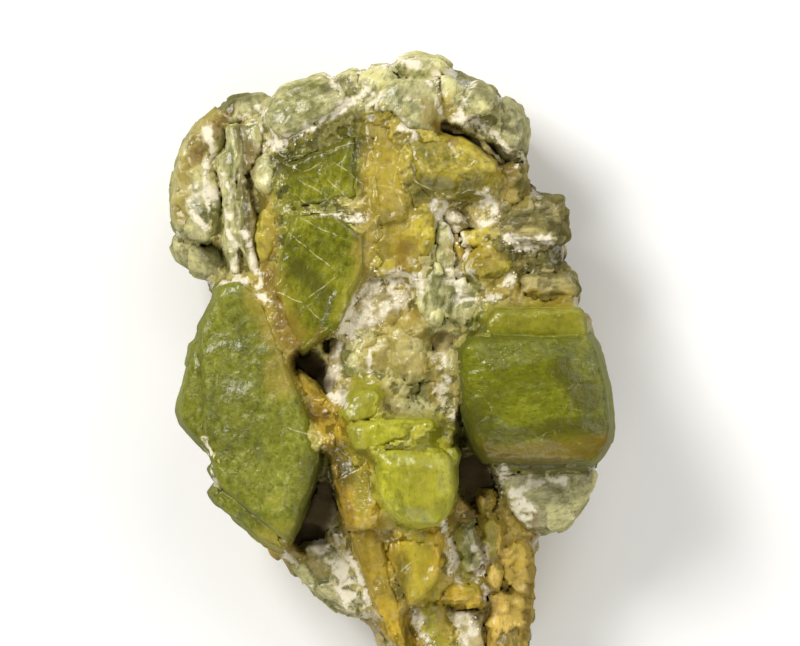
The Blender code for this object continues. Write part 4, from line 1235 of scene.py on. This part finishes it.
class PERIDOT_OT_ground_mass(bpy.types.Operator):
    """Shape the crumbly ground mass that carries the crystals"""

    bl_idname = "peridot.ground_mass"
    bl_label = "Ground mass"

    def execute(self, context):
        made = smooth_copy("ground_mass", "matrix", context.scene.peridot_sizes.coarse)
        skin = Skin(made.data)
        soft, _ = skin.outward()
        place = skin.place
        _, slope, value = mosaic(place, GROUND_FACE, GROUND_SEED + 2)
        rise = 0.1 + 0.4 * cloud(place, LUMP_SIZE, 3, GROUND_SEED)
        rise += 0.2 * cloud(place, CRUMBLE_SIZE, 3, GROUND_SEED + 1)
        rise += 0.5 * (0.5 * (value - 0.5) + FACE_TILT * slope)
        skin.push(rise * (0.12 + 0.88 * ramp(place[:, 2], *ROUGH_FROM)), soft)
        grit = cloud(place, 1.4, 3, GROUND_SEED + 3)
        # Chalk only on the higher ground: the low ground is left darker, partly as painted shade.
        dust = 0.15 + 0.5 * ramp(place[:, 2], *CHALK_AND_SHADE_FROM) * ramp(grit, 0.0, 0.5)
        skin.mark(GROUND_AXIS, GROUND_FIBRE, value, dust)
        made.data.shade_smooth()
        settle(made, ["matrix"], finish("ground"))
        return {"FINISHED"}


class PERIDOT_OT_seams(bpy.types.Operator):
    """Fill the seams between the crystals with a sugary mass of small grains"""

    bl_idname = "peridot.seams"
    bl_label = "Seams"

    def execute(self, context):
        sizes = context.scene.peridot_sizes
        colours = context.scene.peridot_colours
        spacing = sizes.seam / MM
        looks = [look for looks in ALL_LOOKS for look in looks]
        stones = [bpy.data.objects[look.node + "_etched"] for look in looks]
        tree, owner = tree_of([bpy.data.objects["ground_mass"]] + stones)
        xs, ys = (np.arange(-reach, reach, spacing) for reach in SEAM_AREA)
        heights, stone = survey(tree, owner, xs, ys)
        solid = stone >= 0
        spots = np.stack(np.meshgrid(xs, ys, indexing="ij"), axis=2)
        place = np.concatenate([spots, heights[:, :, None]], axis=2).reshape(-1, 3)
        wander = drift(place)

        # Where they lie: along borders, over deep gaps and on the covered ground.
        radius = round(sizes.bridge / sizes.seam)
        closed = window(window(heights, radius, np.maximum), radius, np.minimum)
        border = neighbours(stone) != 8 * stone
        border = window(border.astype(float), round(SEAM_REACH / spacing), np.maximum) > 0
        border |= closed - heights > GAP_DEPTH
        cover = marks(place, wander, COVERED, 0.7, 1.1, 0.3) * (stone.ravel() == 0)
        border |= cover.reshape(heights.shape) > 0.5

        # How high they stand: small grains, lower where no crystal's colour holds.
        held = [marks(place, wander, [(reach, line)], 0.6, 1.1, 0.4) for _, reach, line in MASSES]
        clean = np.max(held, axis=0)
        _, slope, value = mosaic(place * SQUAT, SEAM_GRAIN, SEAM_SEED)
        relief = SEAM_RISE * (0.4 * (value - 0.5) + FACE_TILT * slope)
        relief += 0.16 * cloud(place, SEAM_GRAIN, 3, SEAM_SEED + 1) - 0.16 * (1 - clean)
        relief += cover * (0.5 + 0.5 * cloud(place * (1, 0.3, 0.5), 1.4, 2, SEAM_SEED + 5))
        sunk = HOLLOW_DEPTH * marks(place, wander, HOLLOWS, 0.6, 1.3, 0.5)
        sunk += LOW_DEPTH * marks(place, wander, LOW_SEAMS, 0.7, 1.2, 0.5)
        sunk += 0.4 * (1 - clean) * ramp(cloud(place, 3.0, 2, SEAM_SEED + 4), 0.1, 0.5)
        filled = spread_out(closed, 2) - 0.04 + (relief - sunk).reshape(heights.shape)
        seen = solid & border & (filled > heights + 0.05)
        seen &= neighbours(seen.astype(int)) > 3
        used = (seen | (neighbours(seen.astype(int)) > 0)) & solid
        tops = np.where(seen, filled, heights - 0.2)
        made = slab("sugary_seams", spots - CENTRE, tops, heights - SEAM_DEPTH, used)

        skin = Skin(made.data)
        i, j = (np.clip(np.round((skin.place[:, k] - cells[0]) / spacing).astype(int), 0,
                        len(cells) - 1) for k, cells in enumerate((xs, ys)))
        blend = seam_colours(stone, held, looks, colours)[i, j]
        layer = made.data.attributes.new("beside", "FLOAT_COLOR", "POINT")
        mixed = np.column_stack([blend, np.ones(len(i))])
        layer.data.foreach_set("color", mixed.astype(np.float32).ravel())
        _, _, tone = mosaic(skin.place * SQUAT, SEAM_GRAIN, SEAM_SEED)
        own = 0.45 - 0.35 * clean.reshape(heights.shape)[i, j]
        skin.store("own", own)
        dust = own * (0.2 + 0.8 * cloud(skin.place, 2.4, 3, SEAM_SEED + 3))
        skin.mark(GROUND_AXIS, GROUND_FIBRE, tone, dust)
        made.data.shade_smooth()
        settle(made, [], finish("mixed"))
        return {"FINISHED"}


class PERIDOT_OT_grains(bpy.types.Operator):
    """Scatter chalk grains along the white veins"""

    bl_idname = "peridot.grains"
    bl_label = "Chalk grains"

    def execute(self, context):
        sizes = context.scene.peridot_sizes
        chance = random.Random(GRAIN_SEED)
        stones = [o for o in bpy.data.objects if o.name.endswith("_etched")]
        ground = [bpy.data.objects["ground_mass"], bpy.data.objects["sugary_seams"]]
        tree, owner = tree_of(ground + stones)
        tried = np.array([(*(chance.uniform(-reach, reach) for reach in GRAIN_AREA), 0.0)
                          for _ in range(sizes.grains)])
        wander = drift(tried)
        veins = marks(tried, wander, CHALK, 0.2, 2.2, 0.6, 0.9)
        veins *= 1 - marks(tried, wander, HOLLOWS, 1.2, 1.6, 0.5)
        points, faces = unit_grain()
        places = []
        for (x, y, _), vein in zip(tried, veins):
            hit, _, face, _ = look_down(tree, x, y)
            if hit is None or owner[face] >= len(ground) or chance.random() > 0.4 * vein ** 2:
                continue
            across = GRAIN_LEAST + GRAIN_MORE * chance.random() ** 3
            size = np.array([chance.uniform(0.7, 1.3), chance.uniform(0.7, 1.3), 0.7]) * across
            dents = np.array([chance.uniform(0.8, 1.15) for _ in points])
            turn = Matrix.Rotation(chance.uniform(0, math.tau), 3, "Z")
            turn = Matrix.Rotation(chance.uniform(-0.6, 0.6), 3, "X") @ turn
            centre = np.array(hit) / MM + (0, 0, 0.1 * across)
            places.append((centre, size, np.array(turn), dents))
        made = joined("chalk_grains", points, faces, places)
        settle(made, [], finish("grain"))
        return {"FINISHED"}


# The stage: the floor's side and the nearest thing that the camera shows in metres, the sky, and
# each lamp's place and side in metres and its power in watts.
FLOOR_SPAN = 4.0
NEAREST = 0.01
SKY_COLOUR = (1.0, 0.99, 0.97, 1.0)
SKY_STRENGTH = 0.26
LAMPS = (
    ("key", (-0.26, 0.24, 0.44), 0.20, 2.5),
    ("right_fill", (0.38, 0.02, 0.38), 0.35, 0.55),
    ("front_fill", (-0.05, -0.38, 0.36), 0.35, 0.75),
    ("back_fill", (0.20, 0.32, 0.40), 0.35, 0.75),
)


class PERIDOT_OT_stage(bpy.types.Operator):
    """Set the pale floor, the soft light and the camera that looks straight down"""

    bl_idname = "peridot.stage"
    bl_label = "Floor, light and camera"

    def execute(self, context):
        scene = context.scene
        bpy.ops.mesh.primitive_plane_add(size=FLOOR_SPAN)
        floor = context.object
        floor.name = "floor"
        material, tree, _ = blank("matt_paper")
        shader = add(tree, "BsdfPrincipled", Base_Color=(*scene.peridot_colours.floor, 1.0),
                     Roughness=0.9)
        add(tree, "OutputMaterial", Surface=shader)
        floor.data.materials.append(material)

        world = bpy.data.worlds.new("studio")
        world.use_nodes = True
        sky = world.node_tree.nodes["Background"]
        sky.inputs["Color"].default_value = SKY_COLOUR
        sky.inputs["Strength"].default_value = SKY_STRENGTH
        scene.world = world

        for name, place, size, power in LAMPS:
            lamp = bpy.data.lights.new(name, "AREA")
            lamp.size = size
            lamp.energy = power
            holder = bpy.data.objects.new(name, lamp)
            holder.location = place
            holder.rotation_euler = (-Vector(place)).to_track_quat("-Z", "Y").to_euler()
            scene.collection.objects.link(holder)

        lens = bpy.data.cameras.new("camera")
        lens.lens = LENS
        lens.sensor_width = SENSOR
        lens.clip_start = NEAREST
        camera = bpy.data.objects.new("camera", lens)
        camera.location = (
            (VIEW_MIDDLE[0] - CENTRE[0]) * MM,
            (VIEW_MIDDLE[1] - CENTRE[1]) * MM,
            (VIEW_LEVEL + VIEW_WIDTH * LENS / SENSOR) * MM,
        )
        scene.collection.objects.link(camera)
        scene.camera = camera
        scene.view_settings.view_transform = "Standard"
        return {"FINISHED"}


OPERATORS = (
    PERIDOT_OT_big_crystals,
    PERIDOT_OT_gold_crystals,
    PERIDOT_OT_pale_crystals,
    PERIDOT_OT_rim_crystals,
    PERIDOT_OT_brown_crystals,
    PERIDOT_OT_ground_mass,
    PERIDOT_OT_seams,
    PERIDOT_OT_grains,
    PERIDOT_OT_stage,
)
GROUPS = {"peridot_colours": StoneColours, "peridot_sizes": StoneSizes}


class PERIDOT_PT_panel(bpy.types.Panel):
    """The specimen's makers and settings"""

    bl_idname = "PERIDOT_PT_panel"
    bl_label = "Peridot specimen"
    bl_space_type = "VIEW_3D"
    bl_region_type = "UI"
    bl_category = "Peridot"

    def draw(self, context):
        for operator in OPERATORS:
            self.layout.operator(operator.bl_idname)
        for group in GROUPS:
            values = getattr(context.scene, group)
            for name in values.bl_rna.properties.keys():
                if name not in ("name", "rna_type"):
                    self.layout.prop(values, name)


def register():
    """Registers the settings, the operators and the panel."""
    for name, group in GROUPS.items():
        bpy.utils.register_class(group)
        setattr(bpy.types.Scene, name, bpy.props.PointerProperty(type=group))
    for kind in (*OPERATORS, PERIDOT_PT_panel):
        bpy.utils.register_class(kind)


def unregister():
    """Takes away what register added."""
    for kind in (PERIDOT_PT_panel, *reversed(OPERATORS)):
        bpy.utils.unregister_class(kind)
    for name, group in GROUPS.items():
        delattr(bpy.types.Scene, name)
        bpy.utils.unregister_class(group)


def main():
    """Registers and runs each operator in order."""
    register()
    for operator in OPERATORS:
        family, step = operator.bl_idname.split(".")
        getattr(getattr(bpy.ops, family), step)()


if __name__ == "__main__":
    main()
